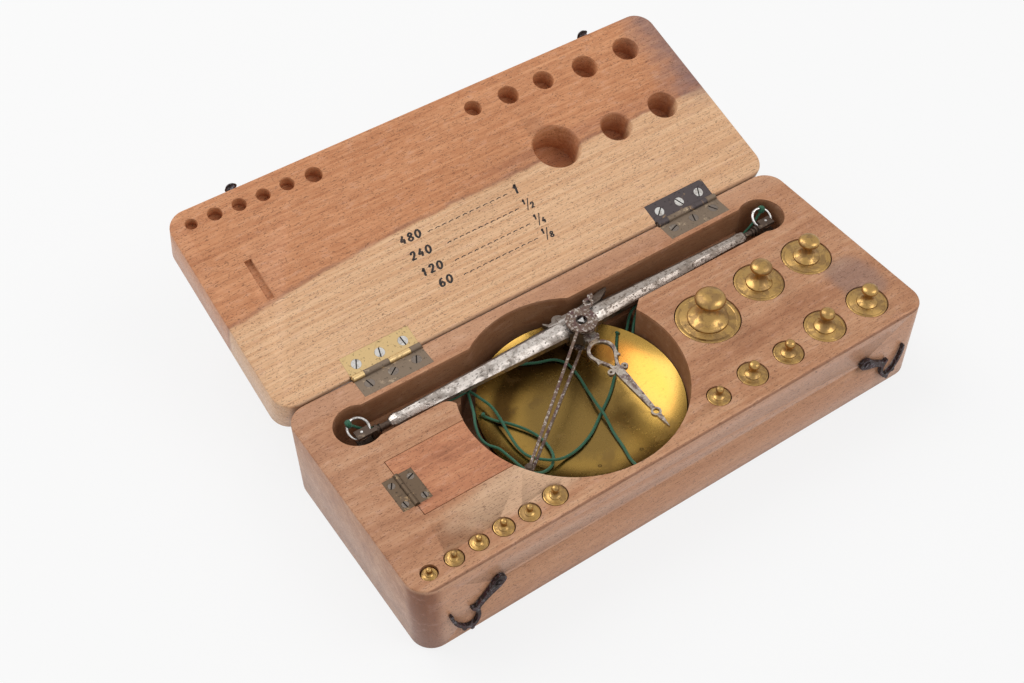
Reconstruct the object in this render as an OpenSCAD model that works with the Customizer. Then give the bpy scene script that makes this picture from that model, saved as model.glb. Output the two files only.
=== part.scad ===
// Apothecary's equal-arm hand balance, stowed with its knob weights in a fitted wooden case.
// Origin: centre of the case's underside. X runs left to right, Y front to back, Z up.
// The lid stands open behind the base, as in use.

/* [Case] */
// Case length, left to right
case_l = 220; // [180:1:260]
// Case depth, front to back
case_w = 89; // [80:0.5:110]
// Height of the base block
base_h = 35.5; // [30:0.5:45]
// Thickness of the lid block
lid_t = 17.5; // [14:0.5:24]
// Radius of the upright corners
corner_r = 8; // [3:0.5:14]
// Opening angle of the lid at rest, in degrees from closed
lid_open = 162.6; // [90:0.1:175]
// Gap between the closed lid and the base
lid_gap = 0.3; // [0.2:0.05:0.6]

/* [Beam slot and pan recess] */
// Depth of the slot for the beam's arms
slot_depth = 12; // [11:0.5:16]
// Depth of the round ends of the slot
bulb_depth = 17; // [12:0.5:22]
// Radius of the round ends
bulb_r = 9; // [7:0.5:11]
// Depth of the pan recess
recess_depth = 23.8; // [20:0.1:28]
// Radius of the pan recess
recess_r = 41.6; // [38:0.1:44]
// Radius of the crescent behind the beam
crescent_r = 39.8; // [38:0.1:42]

/* [Hinges] */
// Distance of each lid hinge from the case's centre
hinge_x = 68; // [50:1:85]
// Length of a lid hinge
hinge_l = 28.2; // [20:0.1:40]
// Width of a lid hinge's leaf
leaf_w = 9.2; // [7:0.1:14]
// Thickness of a lid hinge's leaf
leaf_t = 1; // [0.6:0.1:1.6]
// Knuckle radius of a lid hinge
knuckle_r = 1.3; // [1:0.1:2]
// Head diameter of a lid hinge's screw
screw_head_d = 3.8; // [3:0.1:5]

/* [Compartment flap] */
// Left edge of the flap, where its hinge sits
flap_x = -91; // [-96:0.5:-80]
// Front edge of the flap
flap_front = -18.2; // [-24:0.1:-10]
// Back edge of the flap
flap_back = 7.3; // [2:0.1:12]
// Thickness of the flap
flap_t = 2.5; // [1.5:0.1:4]
// Gap round the flap
flap_gap = 0.25; // [0.1:0.05:0.6]

/* [Balance] */
// Half length of the beam's steel arms, from the fulcrum to their rounded ends
arm_l = 79.6; // [60:0.1:84]
// Distance from the end of a steel arm to its end knife
end_reach = 11.7; // [9:0.1:14]
// Half width of the beam beside the fulcrum
beam_a = 4.2; // [3:0.1:5]
// Half thickness of the beam beside the fulcrum
beam_b = 3.3; // [2.5:0.1:3.4]
// Radius of a pan at its rim
pan_r = 37.8; // [34:0.1:38]
// Depth of a pan's bowl
pan_depth = 8.6; // [6:0.1:9.5]
// Thickness of a pan's sheet
pan_t = 0.6; // [0.4:0.1:0.8]
// Radius of the silk cord
cord_r = 0.5; // [0.4:0.05:0.5]
// Length of the fork from the fulcrum to its head
fork_l = 66.4; // [60:0.1:68]

/* [Weights] */
// Body diameter of the 100 g weight
w100_d = 24; // [22:0.1:26]
// Body diameter of a 50 g weight
w50_d = 18.7; // [17:0.1:20]
// Body diameter of a 20 g weight
w20_d = 15.1; // [13:0.1:16]
// Body diameter of a 10 g weight
w10_d = 10.9; // [10:0.1:12]
// Body diameter of a 5 g weight
w5_d = 8.4; // [7:0.1:9]
// Body diameter of a 3 g weight
w3_d = 7.2; // [6:0.1:8]
// Body diameter of a 2 g weight
w2_d = 6.4; // [5:0.1:7]
// Body diameter of the 1 g weight
w1_d = 5.6; // [5:0.1:6]
// Gap round a weight in its socket
socket_gap = 0.3; // [0.2:0.05:0.5]

/* [Latch hooks] */
// Distance of each hook's pivot from the case's centre
hook_x = 81; // [70:0.5:90]
// Depth of each hook's pivot below the top of the base
hook_drop = 14; // [10:0.1:15.5]
// Distance from the pivot to the middle of the hook's crescent
hook_reach = 16.2; // [13:0.1:18]
// Resting angle of the left hook, from straight down towards the left end
hook_left_rest = 51; // [0:1:90]
// Resting angle of the right hook, from straight down towards the right end
hook_right_rest = 60; // [0:1:90]

/* [Part to show] */
// Node to draw, or all

/* [Hidden] */
$fn = 48;
eps = 0.05;
top = base_h;
hook_z = base_h - hook_drop;
end_x = arm_l + end_reach;
bulb_x = end_x - 1;
lid_z = base_h + lid_gap;
axis_y = case_w / 2 + 0.15;
axis_z = base_h + lid_gap / 2;
run_fit = 0.05;
screw_gap = 0.05;
pin_r = 0.5;
leaf_y = axis_y - leaf_w;
screw_y = axis_y - 4.7;
screw_offsets = [-9.7, 0, 9.6];
screw_shank_r = 0.8;
screw_len = 8;
base_slot_angles = [[100, 35, 60], [20, 70, 118]];
lid_slot_angles = [[62, 75, 95], [40, 115, 65]];
// Knuckle joints along a lid hinge, from its left end
knuckle_cuts = [0, 4.8, 15, 23.8, hinge_l];

slot_y0 = 18;
slot_y1 = 33.4;
bulb_y = 26;
recess_x = -18.7;
recess_y = 0.1;

flap_axis_z = base_h + 0.05;
flap_hinge_y0 = -13.6;
flap_hinge_y1 = 0.5;
flap_leaf_t = 0.8;
flap_leaf_fixed_w = 5.3;
flap_leaf_moving_w = 6;
flap_knuckle_r = 0.95;
flap_pin_r = 0.4;
flap_screw_d = 2.6;
flap_fixed_screws = [[-94.25, -2.5], [-94.25, -11.3]];
flap_moving_screws = [[-86.9, -2.5], [-86.9, -11.6]];
compartment_x0 = -87;
compartment_x1 = -64;
compartment_y0 = -15;
compartment_y1 = 4;
compartment_depth = 8;

// Fulcrum axis of the balance
ful_x = 1.6;
ful_y = 22.6;
beam_y = 25.4;
beam_z = base_h - 6.5;
cheek_t = 1;
cheek_top = base_h - 1.3;
cheek_bottom = base_h - 11.7;
cheek_r = 6;
cheek_hole_r = 2.2;
fork_angle = 218.7;
rod_w = 1;
rod_t = 0.9;
eye_r = 1.6;
eye_top = base_h - 5.2;
eye_bottom = base_h - 8;
eye_t = 0.9;
rivet_r = 0.95;

pan_x = -15.6;
pan_y = -1.1;
pan_power = 3.6;
pan_rim_upper = base_h - 12;
pan_rim_lower = base_h - 14.3;
pan_hole_r = 0.6;
hole_radius = 36;
upper_holes = [-91, 32, 154];
lower_holes = [22, 142, 262];

ring_r = 3.95;
ring_wire = 0.55;
ring_front_y = 24.6;
end_pin_y = 25.75;
ring_tilt = [24, 30];

hook_t = 1.4;
hook_off = 0.3;
pivot_r = 0.85;
pivot_head_r = 1.4;
stud_r = 1.7;
stud_head_r = 2.5;
stud_rise = hook_z + 1.043 * hook_reach - lid_z;

// Weights: x, y, body diameter, body height, knob diameter, top of the knob above the case
h100 = 24;
h50 = 18;
h20 = 12.8;
h10 = 10.2;
h5 = 8.8;
h3 = 7.4;
h2 = 6.4;
h1 = 5.2;
pos_100 = [39, -4];
pos_50a = [66, -0.8];
pos_50b = [89.4, -0.8];
pos_20a = [91.9, -31];
pos_20b = [71.2, -31.1];
pos_10a = [52, -33.2];
pos_10b = [35.2, -33.5];
pos_5a = [19, -34.5];
pos_5b = [-51.7, -36.1];
pos_3a = [-62.5, -37];
pos_3b = [-72.6, -36.9];
pos_2a = [-82.4, -37.2];
pos_2b = [-92.1, -37.7];
pos_1 = [-101.6, -37.8];
// Each row: position, body diameter, body height, sink of the top face, lid hole diameter,
// chamfer diameter, lid hole depth
sockets = [
    [pos_100, w100_d, h100, 0.2, 19, 20.5, 14.3],
    [pos_50a, w50_d, h50, 0.2, 12.3, 13.8, 11.6],
    [pos_50b, w50_d, h50, 0.2, 12.3, 12.9, 11.6],
    [pos_20a, w20_d, h20, 0.2, 11, 11.4, 9.5],
    [pos_20b, w20_d, h20, 0.2, 10.6, 11, 9.5],
    [pos_10a, w10_d, h10, 0.2, 8.6, 9, 7.5],
    [pos_10b, w10_d, h10, 0.2, 8.4, 8.8, 7.5],
    [pos_5a, w5_d, h5, 0.2, 7, 7.3, 6],
    [pos_5b, w5_d, h5, 0.2, 6.7, 7, 6],
    [pos_3a, w3_d, h3, 0.2, 5.5, 5.9, 5],
    [pos_3b, w3_d, h3, 0.2, 5.4, 5.8, 5],
    [pos_2a, w2_d, h2, 0.2, 5.4, 5.8, 4.6],
    [pos_2b, w2_d, h2, 0.2, 5.5, 5.9, 4.6],
    [pos_1, w1_d, h1, 1, 4.5, 4.9, 4]
];

function pan_in(r) = -pan_depth * (1 - pow(min(r, pan_r) / pan_r, pan_power));
function pan_point(a, r, rim) = [pan_x + r * cos(a), pan_y + r * sin(a), rim + pan_in(r)];
function unit(v) = v / norm(v);

// Knots of the silk cords
knot_left_at = [-46.5, 25, 24.6];
knot_right_at = [31, 24, 24.6];
knot_r = 1;
tie_left_at = [ful_x - end_x - 2.3, 30.8, 32.2];
tie_right_at = [ful_x + end_x + 1.9, 30.8, 32.4];
tie_r = 1.25;

// Routes of the cords
route_upper_front = [
    [-45.5, 25.4, 24.5], [-40.5, 26.5, 24.4], [-35, 28.3, 22.5], [-29, 29.2, 21.2],
    [-23, 28.4, 19.7], [-16, 26, 18.5], [-9.5, 23.7, 18], [-6.5, 20, 17.3], [-6, 14, 16.5],
    [-7.2, 5.8, 16], [-8.8, -2, 17.2], [-9.3, -7, 17.1], [-11, -15, 16.1], [-12.3, -22, 16.9],
    [-14.5, -29.5, 18.9], [-16, -36.3, 22.5]
];
route_upper_back = [
    [-46.2, 23.8, 24.5], [-45, 19.5, 24.5], [-43, 16, 22.4], [-42.6, 11.3, 20.8],
    [-43.3, 5, 19.6], [-44, -3, 19], [-43.2, -7.7, 19], [-40.5, -12, 19.7], [-37, -14.6, 19.4],
    [-31.5, -14.5, 16.9], [-25, -13.5, 16.2], [-17.5, -10.5, 15.9], [-9.5, -5.2, 15.7],
    [-2, -0.3, 16], [4, 4.8, 16.8], [8.8, 10, 18.4], [12.2, 14.7, 20.4], [14.8, 17.8, 22.5]
];
route_upper_left = [
    [-47.3, 24.2, 24.5], [-49, 19.5, 24.5], [-51, 14.6, 25.4], [-53.3, 10, 25], [-54.7, 5, 24.3],
    [-54.2, 1, 24.2], [-51.7, -2, 23.4], [-50.2, -7, 22.6], [-49.6, -12, 23], [-49, -15.8, 23.7],
    [-46.6, -17.8, 22.7], [-42.5, -17.4, 20.2], [-38, -15.2, 18.1], [-35, -11.5, 17.1],
    [-33.8, -7, 16.6], [-34, -2, 16.4], [-36, 3, 16.9], [-40, 8, 18.2], [-44.6, 11.2, 20.2],
    [-48, 14.2, 22.5]
];
// Each lead's points: share of the way from its knot to its tie, y and z
lead_left_steps = [[0, 24.9, 24.6], [0.126, 25.1, 24.3], [0.4, 28.1, 24.3], [0.698, 28.5, 24.6],
    [0.904, 29.3, 27.6], [1, 30.4, 31.2]];
lead_right_steps = [[0, 24, 24.6], [0.145, 24.4, 24.3], [0.452, 25.7, 24.3], [0.742, 27.8, 24.7],
    [0.919, 29.4, 27.9], [1, 30.4, 31.3]];
function lead(x0, x1, steps) = [for (k = steps) [x0 + k[0] * (x1 - x0), k[1], k[2]]];
route_lead_left = lead(knot_left_at[0] - knot_r, tie_left_at[0] + 0.8, lead_left_steps);
route_lead_right = lead(knot_right_at[0] + knot_r, tie_right_at[0] - 0.8, lead_right_steps);
route_lower_right = [
    [17.8, 12.4, 20.3], [18.6, 13.2, 21.35], [20, 14.9, 22.5], [21.9, 17, 23.5], [25, 19.9, 24.2],
    [30.4, 23.45, 24.4]
];
route_lower_left = [
    [-43.9, 21, 20.25], [-43.2, 20.75, 20.12], [-39.8, 20, 18.12], [-35.4, 19.1, 16.36],
    [-29, 17.9, 14.86], [-21.5, 16.9, 14.06], [-13.5, 16.2, 13.9], [-5.5, 15.7, 14.16],
    [2, 15.2, 15.04], [8, 14.8, 16.44], [12.3, 14.7, 18.1], [15.8, 15.2, 20.14],
    [18.2, 16.6, 22.15], [20.2, 18.5, 23.1], [24.2, 21.9, 24.4], [30.4, 24.6, 24.85]
];

wood_c = [0.72, 0.5, 0.36];
wood_dark_c = [0.66, 0.4, 0.27];
brass_c = [0.75, 0.62, 0.3];
steel_c = [0.62, 0.61, 0.6];
iron_c = [0.25, 0.24, 0.26];
rust_c = [0.5, 0.44, 0.4];
silk_c = [0.05, 0.35, 0.22];

module rounded_outline(l, w, r) {
    square([l - 2 * r, w], center = true);
    square([l, w - 2 * r], center = true);
    for (sx = [-1, 1], sy = [-1, 1]) {
        translate([sx * (l / 2 - r), sy * (w / 2 - r)]) circle(r);
    }
}

// Turns a closed-lid shape to the lid's resting place
module as_opened() {
    translate([0, axis_y, axis_z]) rotate([-lid_open, 0, 0]) translate([0, -axis_y, -axis_z]) children();
}

module x_rod(x0, x1, y, z, r) {
    translate([x0, y, z]) rotate([0, 90, 0]) cylinder(h = x1 - x0, r = r);
}

module y_rod(y0, y1, x, z, r) {
    translate([x, y1, z]) rotate([90, 0, 0]) cylinder(h = y1 - y0, r = r);
}

// Countersunk wood screw, head up at the origin, slot turned by angle a
module wood_screw(d, l, a) {
    difference() {
        union() {
            translate([0, 0, -0.6]) cylinder(h = 0.6, r = d / 2);
            translate([0, 0, -l]) cylinder(h = l, r = screw_shank_r);
        }
        rotate([0, 0, a]) translate([-d, -0.25, -0.35]) cube([2 * d, 0.5, 1]);
    }
}

module screw_seat(d, l) {
    translate([0, 0, -0.6 - screw_gap]) cylinder(h = 2, r = d / 2 + screw_gap);
    translate([0, 0, -l - screw_gap]) cylinder(h = l + 1, r = screw_shank_r + screw_gap);
}

// Case

module recess_outline() {
    intersection() {
        translate([recess_x, recess_y]) circle(recess_r, $fn = 96);
        translate([-80, -60]) square([120, 82]);
    }
    translate([recess_x, recess_y]) circle(crescent_r, $fn = 96);
    polygon([[14, 13], [18.9, 13], [20, 14], [24.7, 18.3], [24.7, 23], [14, 23]]);
}

module slot_outline() {
    translate([-bulb_x, slot_y0]) square([2 * bulb_x, slot_y1 - slot_y0]);
    difference() {
        translate([-62, 13.4]) square([8, 5]);
        translate([-62, 13.4]) circle(4.6);
    }
}

module case_base() {
    color(wood_c) difference() {
        linear_extrude(base_h) rounded_outline(case_l, case_w, corner_r);
        translate([0, 0, top - slot_depth]) linear_extrude(slot_depth + 1) slot_outline();
        for (s = [-1, 1]) {
            translate([s * bulb_x, bulb_y, top - bulb_depth]) cylinder(h = bulb_depth + 1, r = bulb_r);
        }
        translate([0, 0, top - recess_depth]) linear_extrude(recess_depth + 1) recess_outline();
        for (k = sockets) {
            translate([k[0][0], k[0][1], top - k[3] - k[2] - eps]) cylinder(h = k[2] + 3, r = k[1] / 2 + socket_gap);
        }
        translate([flap_x - flap_gap, flap_front - flap_gap, top - flap_t - eps])
            cube([36, flap_back - flap_front + 2 * flap_gap, flap_t + 1]);
        translate([compartment_x0, compartment_y0, top - flap_t - compartment_depth])
            cube([compartment_x1 - compartment_x0, compartment_y1 - compartment_y0, compartment_depth + 1]);
        translate([flap_x - flap_leaf_fixed_w - eps, flap_hinge_y0 - eps, top - flap_leaf_t - eps])
            cube([flap_leaf_fixed_w + 1, flap_hinge_y1 - flap_hinge_y0 + 2 * eps, 2]);
        y_rod(flap_hinge_y0 - 0.3, flap_hinge_y1 + 0.3, flap_x, flap_axis_z, flap_knuckle_r + 0.15);
        for (p = flap_fixed_screws) {
            translate([p[0], p[1], top]) screw_seat(flap_screw_d, 5);
        }
        for (s = [-1, 1]) {
            translate([s * hinge_x - hinge_l / 2 - eps, leaf_y - eps, top - leaf_t - eps])
                cube([hinge_l + 2 * eps, leaf_w + 2, 3]);
            x_rod(s * hinge_x - hinge_l / 2 - 0.4, s * hinge_x + hinge_l / 2 + 0.4, axis_y, axis_z, knuckle_r + 0.15);
            for (o = screw_offsets) {
                translate([s * hinge_x + o, screw_y, top]) screw_seat(screw_head_d, screw_len);
            }
            y_rod(-case_w / 2 - 1, -case_w / 2 + 8.05, s * hook_x, hook_z, pivot_r + run_fit);
        }
    }
}

module lid_hole(k) {
    depth = k[6];
    translate([k[0][0], k[0][1], lid_z - 1]) cylinder(h = depth + 1, r = k[4] / 2);
    translate([k[0][0], k[0][1], lid_z - 0.01]) cylinder(h = (k[5] - k[4]) / 2 + 0.01, r1 = k[5] / 2, r2 = k[4] / 2);
}

module case_lid() {
    color(wood_c) as_opened() difference() {
        translate([0, 0, lid_z]) linear_extrude(lid_t) rounded_outline(case_l, case_w, corner_r);
        for (k = sockets) {
            lid_hole(k);
        }
        translate([flap_x - 1.5, -15, lid_z - 1]) cube([3, 18, 3]);
        for (s = [-1, 1]) {
            translate([s * hinge_x - hinge_l / 2 - eps, leaf_y - eps, lid_z - 2])
                cube([hinge_l + 2 * eps, leaf_w + 2, 2 + leaf_t + eps]);
            x_rod(s * hinge_x - hinge_l / 2 - 0.4, s * hinge_x + hinge_l / 2 + 0.4, axis_y, axis_z, knuckle_r + 0.15);
            for (o = screw_offsets) {
                translate([s * hinge_x + o, screw_y, lid_z]) rotate([180, 0, 0]) screw_seat(screw_head_d, screw_len);
            }
            y_rod(-case_w / 2 - 1, -case_w / 2 + 4.05, s * hook_x, lid_z + stud_rise, 1.05);
        }
    }
}

module compartment_flap() {
    color(wood_dark_c) difference() {
        intersection() {
            translate([flap_x, flap_front, top - flap_t]) cube([40, flap_back - flap_front, flap_t]);
            difference() {
                translate([-110, -40, 0]) cube([60, 80, 60]);
                translate([recess_x, recess_y, 0]) cylinder(h = 60, r = recess_r + 0.1, $fn = 96);
            }
        }
        translate([flap_x - 1, flap_hinge_y0 - eps, top - flap_leaf_t - eps])
            cube([flap_leaf_moving_w + 1 + eps, flap_hinge_y1 - flap_hinge_y0 + 2 * eps, 2]);
        y_rod(flap_hinge_y0 - 0.3, flap_hinge_y1 + 0.3, flap_x, flap_axis_z, flap_knuckle_r + 0.15);
        for (p = flap_moving_screws) {
            translate([p[0], p[1], top]) screw_seat(flap_screw_d, 1.9);
        }
    }
}

// Lid hinges, drawn with the lid closed. Odd knuckles belong to the lid, even ones to the base.

module knuckles(cx, first, grow) {
    for (i = [first, first + 2]) {
        x_rod(cx - hinge_l / 2 + knuckle_cuts[i] - grow + 0.05, cx - hinge_l / 2 + knuckle_cuts[i + 1] + grow - 0.05,
            axis_y, axis_z, knuckle_r + grow);
    }
}

module hinge_leaf(cx, z0, own, other) {
    difference() {
        union() {
            difference() {
                translate([cx - hinge_l / 2, leaf_y, z0]) cube([hinge_l, leaf_w, leaf_t]);
                knuckles(cx, other, 0.1);
            }
            knuckles(cx, own, 0);
        }
        x_rod(cx - hinge_l / 2 - 1, cx + hinge_l / 2 + 1, axis_y, axis_z, pin_r + run_fit);
        for (o = screw_offsets) {
            if (z0 < top) {
                translate([cx + o, screw_y, z0 + leaf_t]) screw_seat(screw_head_d, 3);
            } else {
                translate([cx + o, screw_y, z0]) rotate([180, 0, 0]) screw_seat(screw_head_d, 3);
            }
        }
    }
}

module left_hinge_base_leaf() { color(brass_c) hinge_leaf(-hinge_x, top - leaf_t, 1, 0); }
module right_hinge_base_leaf() { color(brass_c) hinge_leaf(hinge_x, top - leaf_t, 1, 0); }
module left_hinge_lid_leaf() { color(brass_c) as_opened() hinge_leaf(-hinge_x, lid_z, 0, 1); }
module right_hinge_lid_leaf() { color(brass_c) as_opened() hinge_leaf(hinge_x, lid_z, 0, 1); }
module hinge_pin(cx) { x_rod(cx - hinge_l / 2 - 0.2, cx + hinge_l / 2 + 0.2, axis_y, axis_z, pin_r); }
module left_hinge_pin() { color(brass_c) hinge_pin(-hinge_x); }
module right_hinge_pin() { color(brass_c) hinge_pin(hinge_x); }

module base_hinge_screws() {
    color(steel_c) for (i = [0, 1], j = [0:2]) {
        translate([(2 * i - 1) * hinge_x + screw_offsets[j], screw_y, top])
            wood_screw(screw_head_d, screw_len, base_slot_angles[i][j]);
    }
}

module lid_hinge_screws() {
    color(steel_c) as_opened() for (i = [0, 1], j = [0:2]) {
        translate([(2 * i - 1) * hinge_x + screw_offsets[j], screw_y, lid_z])
            rotate([180, 0, 0]) wood_screw(screw_head_d, screw_len, lid_slot_angles[i][j]);
    }
}

// Flap hinge: outer knuckles fixed, middle knuckle moving

module flap_knuckles(moving, grow) {
    third = (flap_hinge_y1 - flap_hinge_y0) / 3;
    spans = moving ? [[1, 2]] : [[0, 1], [2, 3]];
    for (s = spans) {
        y_rod(flap_hinge_y0 + third * s[0] + 0.05 - grow, flap_hinge_y0 + third * s[1] - 0.05 + grow,
            flap_x, flap_axis_z, flap_knuckle_r + grow);
    }
}

module flap_leaf(x0, w, moving, screws) {
    difference() {
        union() {
            difference() {
                translate([x0, flap_hinge_y0, top - flap_leaf_t])
                    cube([w, flap_hinge_y1 - flap_hinge_y0, flap_leaf_t]);
                flap_knuckles(!moving, 0.1);
            }
            flap_knuckles(moving, 0);
        }
        y_rod(flap_hinge_y0 - 1, flap_hinge_y1 + 1, flap_x, flap_axis_z, flap_pin_r + run_fit);
        for (p = screws) {
            translate([p[0], p[1], top]) screw_seat(flap_screw_d, 3);
        }
    }
}

module flap_hinge_fixed_leaf() {
    color(brass_c) flap_leaf(flap_x - flap_leaf_fixed_w, flap_leaf_fixed_w - 0.1, false, flap_fixed_screws);
}

module flap_hinge_moving_leaf() {
    color(brass_c) flap_leaf(flap_x + 0.1, flap_leaf_moving_w - 0.1, true, flap_moving_screws);
}

module flap_hinge_pin() {
    color(brass_c) y_rod(flap_hinge_y0 - 0.1, flap_hinge_y1 + 0.1, flap_x, flap_axis_z, flap_pin_r);
}

module flap_hinge_fixed_screws() {
    color(steel_c) for (i = [0, 1]) {
        translate([flap_fixed_screws[i][0], flap_fixed_screws[i][1], top]) wood_screw(flap_screw_d, 5, 55 + 40 * i);
    }
}

module flap_hinge_moving_screws() {
    color(steel_c) for (i = [0, 1]) {
        translate([flap_moving_screws[i][0], flap_moving_screws[i][1], top]) wood_screw(flap_screw_d, 1.9, 20 + 70 * i);
    }
}

// Latch hooks. Profile: pivot at the origin, arm along -Y, mouth towards -X.

module hook_profile() {
    polygon(hook_reach / 16.2 * [
        [0, 3.3], [-1.3, 3], [-2.1, 2.1], [-2.4, 0.8], [-2.3, -0.6], [-1.9, -2], [-1.5, -3.4], [-1.25, -4.6],
        [-1, -6.5], [-0.9, -8.5], [-0.8, -10], [-0.75, -11.1], [-1.5, -11.4], [-2, -12], [-1.6, -12.6],
        [-0.6, -12.75], [0.6, -12.75], [1.8, -12.9], [3.1, -13.6], [4.3, -14.6], [5.2, -15.8], [5.6, -17],
        [5.2, -18], [4.2, -18.8], [2.8, -19.25], [1.2, -19.45], [-0.6, -19.3], [-2.6, -18.9], [-4.6, -18.25],
        [-6.4, -17.45], [-7.8, -16.5], [-8.5, -16.5], [-8.5, -17.1], [-7.4, -18], [-5.6, -19], [-3.4, -19.85],
        [-1, -20.4], [1.2, -20.6], [2.6, -20.6], [3, -21.3], [3.8, -21.5], [4.4, -21.1], [4.4, -20.3],
        [5.2, -19.9], [6, -19.6], [6.7, -20.3], [7.5, -20.3], [7.8, -19.6], [7.2, -18.8], [7.1, -17.5],
        [6.7, -16.1], [6, -14.8], [4.9, -13.4], [3.5, -12.3], [2.3, -11.6], [1.7, -11], [1.5, -10], [1.5, -8.5],
        [1.6, -6.5], [1.8, -4.6], [2.2, -3], [2.4, -1.5], [2.45, 0], [2.3, 1.5], [1.7, 2.6], [0.9, 3.15]
    ]);
}

module hook(flip, side, rest) {
    translate([side * hook_x, -case_w / 2 - hook_off, hook_z]) rotate([90, 0, 0])
        rotate([0, 0, side * rest]) mirror([flip, 0, 0]) difference() {
            linear_extrude(hook_t) hook_profile();
            translate([0, 0, -1]) cylinder(h = 5, r = pivot_r + run_fit);
            translate([0, 0, hook_t - 0.6]) cylinder(h = 5, r = pivot_head_r + run_fit);
        }
}

module latch_hook_left() { color(iron_c) hook(0, -1, hook_left_rest); }
module latch_hook_right() { color(iron_c) hook(1, 1, hook_right_rest); }

module latch_pivot_screws() {
    color(iron_c) for (s = [-1, 1]) {
        translate([s * hook_x, -case_w / 2, hook_z]) rotate([90, 0, 0]) difference() {
            union() {
                translate([0, 0, -8]) cylinder(h = 9.2, r = pivot_r);
                translate([0, 0, hook_off + hook_t - 0.55]) cylinder(h = 1.1, r = pivot_head_r);
            }
            rotate([0, 0, s * 35]) translate([-4, -0.2, hook_off + hook_t + 0.2]) cube([8, 0.4, 1]);
        }
    }
}

module catch_studs() {
    color(iron_c) as_opened() for (s = [-1, 1]) {
        translate([s * hook_x, -case_w / 2, lid_z + stud_rise]) rotate([90, 0, 0]) {
            translate([0, 0, -4]) cylinder(h = 4.5, r = 1);
            cylinder(h = hook_off + hook_t + 0.3, r = stud_r);
            translate([0, 0, hook_off + hook_t + 0.3]) cylinder(h = 0.9, r1 = stud_head_r, r2 = 1.7);
        }
    }
}

// Balance

function octagon(x, y, z, a, b) = [
    [x, y + a, z - 0.35 * b], [x, y + 0.4 * a, z - b], [x, y - 0.4 * a, z - b], [x, y - a, z - 0.35 * b],
    [x, y - a, z + 0.35 * b], [x, y - 0.4 * a, z + b], [x, y + 0.4 * a, z + b], [x, y + a, z + 0.35 * b]
];

// Solid through rings of eight points each
module eight_sided(rings) {
    n = len(rings);
    pts = [for (r = rings) each r];
    sides = [for (i = [0:n - 2], j = [0:7])
        [8 * i + j, 8 * i + (j + 1) % 8, 8 * (i + 1) + (j + 1) % 8, 8 * (i + 1) + j]];
    polyhedron(points = pts, faces = concat([[7, 6, 5, 4, 3, 2, 1, 0]], sides, [[for (j = [0:7]) 8 * (n - 1) + j]]));
}

module beam() {
    half = [[7, beam_a, beam_b], [arm_l - 12, 2.5, 2.25], [arm_l - 4.5, 2.3, 2.05], [arm_l - 1.8, 2.6, 2.35],
        [arm_l - 0.2, 2.3, 2.1], [arm_l + 0.8, 1.6, 1.5], [arm_l + 1.2, 0.95, 0.95]];
    s = concat([for (i = [len(half) - 1:-1:0]) [-half[i][0], half[i][1], half[i][2]]], half);
    color(steel_c) difference() {
        union() {
            eight_sided([for (k = s) octagon(ful_x + k[0], beam_y, beam_z, k[1], k[2])]);
            translate([ful_x, 0, beam_z - 3]) linear_extrude(6) polygon([
                [-6.4, 29.9], [-6.4, 20.8], [-4.9, 20.2], [-3.4, 19], [-2.7, 17.7],
                [2.7, 17.7], [3.4, 19], [4.9, 20.2], [6.4, 20.8], [6.4, 29.9]]);
            translate([0, 0, beam_z + 0.6]) linear_extrude(2) {
                translate([-4.2, 29.2]) circle(2.5);
                polygon([[-5.6, 27.9], [-5.4, 29.9], [-8.3, 29.4], [-9.9, 31], [-10.3, 30.6], [-8.9, 28.2]]);
                polygon([[6.5, 28.6], [11, 28.3], [14.4, 28.7], [18.4, 30.9], [20.3, 32.7], [16.6, 32.6],
                    [12.6, 31.4], [9.5, 30.7], [6.5, 30.4]]);
            }
        }
        translate([ful_x, ful_y, beam_z - 8]) cylinder(h = 16, r = 1.55 + run_fit);
    }
}

module central_knife() {
    color(steel_c) translate([ful_x, ful_y, cheek_bottom + 0.2]) rotate([0, 0, 40])
        cylinder(h = cheek_top - cheek_bottom - 0.4, r = 1.55, $fn = 3);
}

module end_fitting(s) {
    translate([ful_x, 0, 0]) mirror([s < 0 ? 1 : 0, 0, 0]) difference() {
        union() {
            x_rod(arm_l + 1.2, end_x - 5.9, beam_y, beam_z, 1.15);
            x_rod(end_x - 7.4, end_x - 6.8, beam_y, beam_z, 1.6);
            x_rod(end_x - 5.9, end_x - 5, beam_y, beam_z, 1.9);
            translate([end_x - 5, end_pin_y - 2.4, beam_z - 2.5]) cube([3, 1.75, 5]);
            translate([end_x - 3.1, end_pin_y - 2.4, beam_z - 2.5]) cube([5.6, 3.9, 5]);
        }
        translate([end_x - 3.2, end_pin_y - 4, beam_z - 1.5]) cube([8, 8, 3]);
        translate([end_x, end_pin_y, beam_z - 4]) cylinder(h = 8, r = 0.5 + 0.02);
    }
}

module end_fitting_left() { color(rust_c) end_fitting(-1); }
module end_fitting_right() { color(rust_c) end_fitting(1); }

module end_knives() {
    color(steel_c) for (s = [-1, 1]) {
        translate([ful_x + s * end_x, end_pin_y, beam_z - 2.5]) cylinder(h = 5, r = 0.5);
    }
}

module end_ring(s, tilt) {
    translate([ful_x + s * end_x, ring_front_y, beam_z]) rotate([tilt, 0, 0]) translate([0, ring_r, 0])
        rotate_extrude($fn = 64) translate([ring_r, 0]) circle(ring_wire, $fn = 16);
}

module end_ring_left() { color(steel_c) end_ring(-1, ring_tilt[0]); }
module end_ring_right() { color(steel_c) end_ring(1, ring_tilt[1]); }

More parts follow.
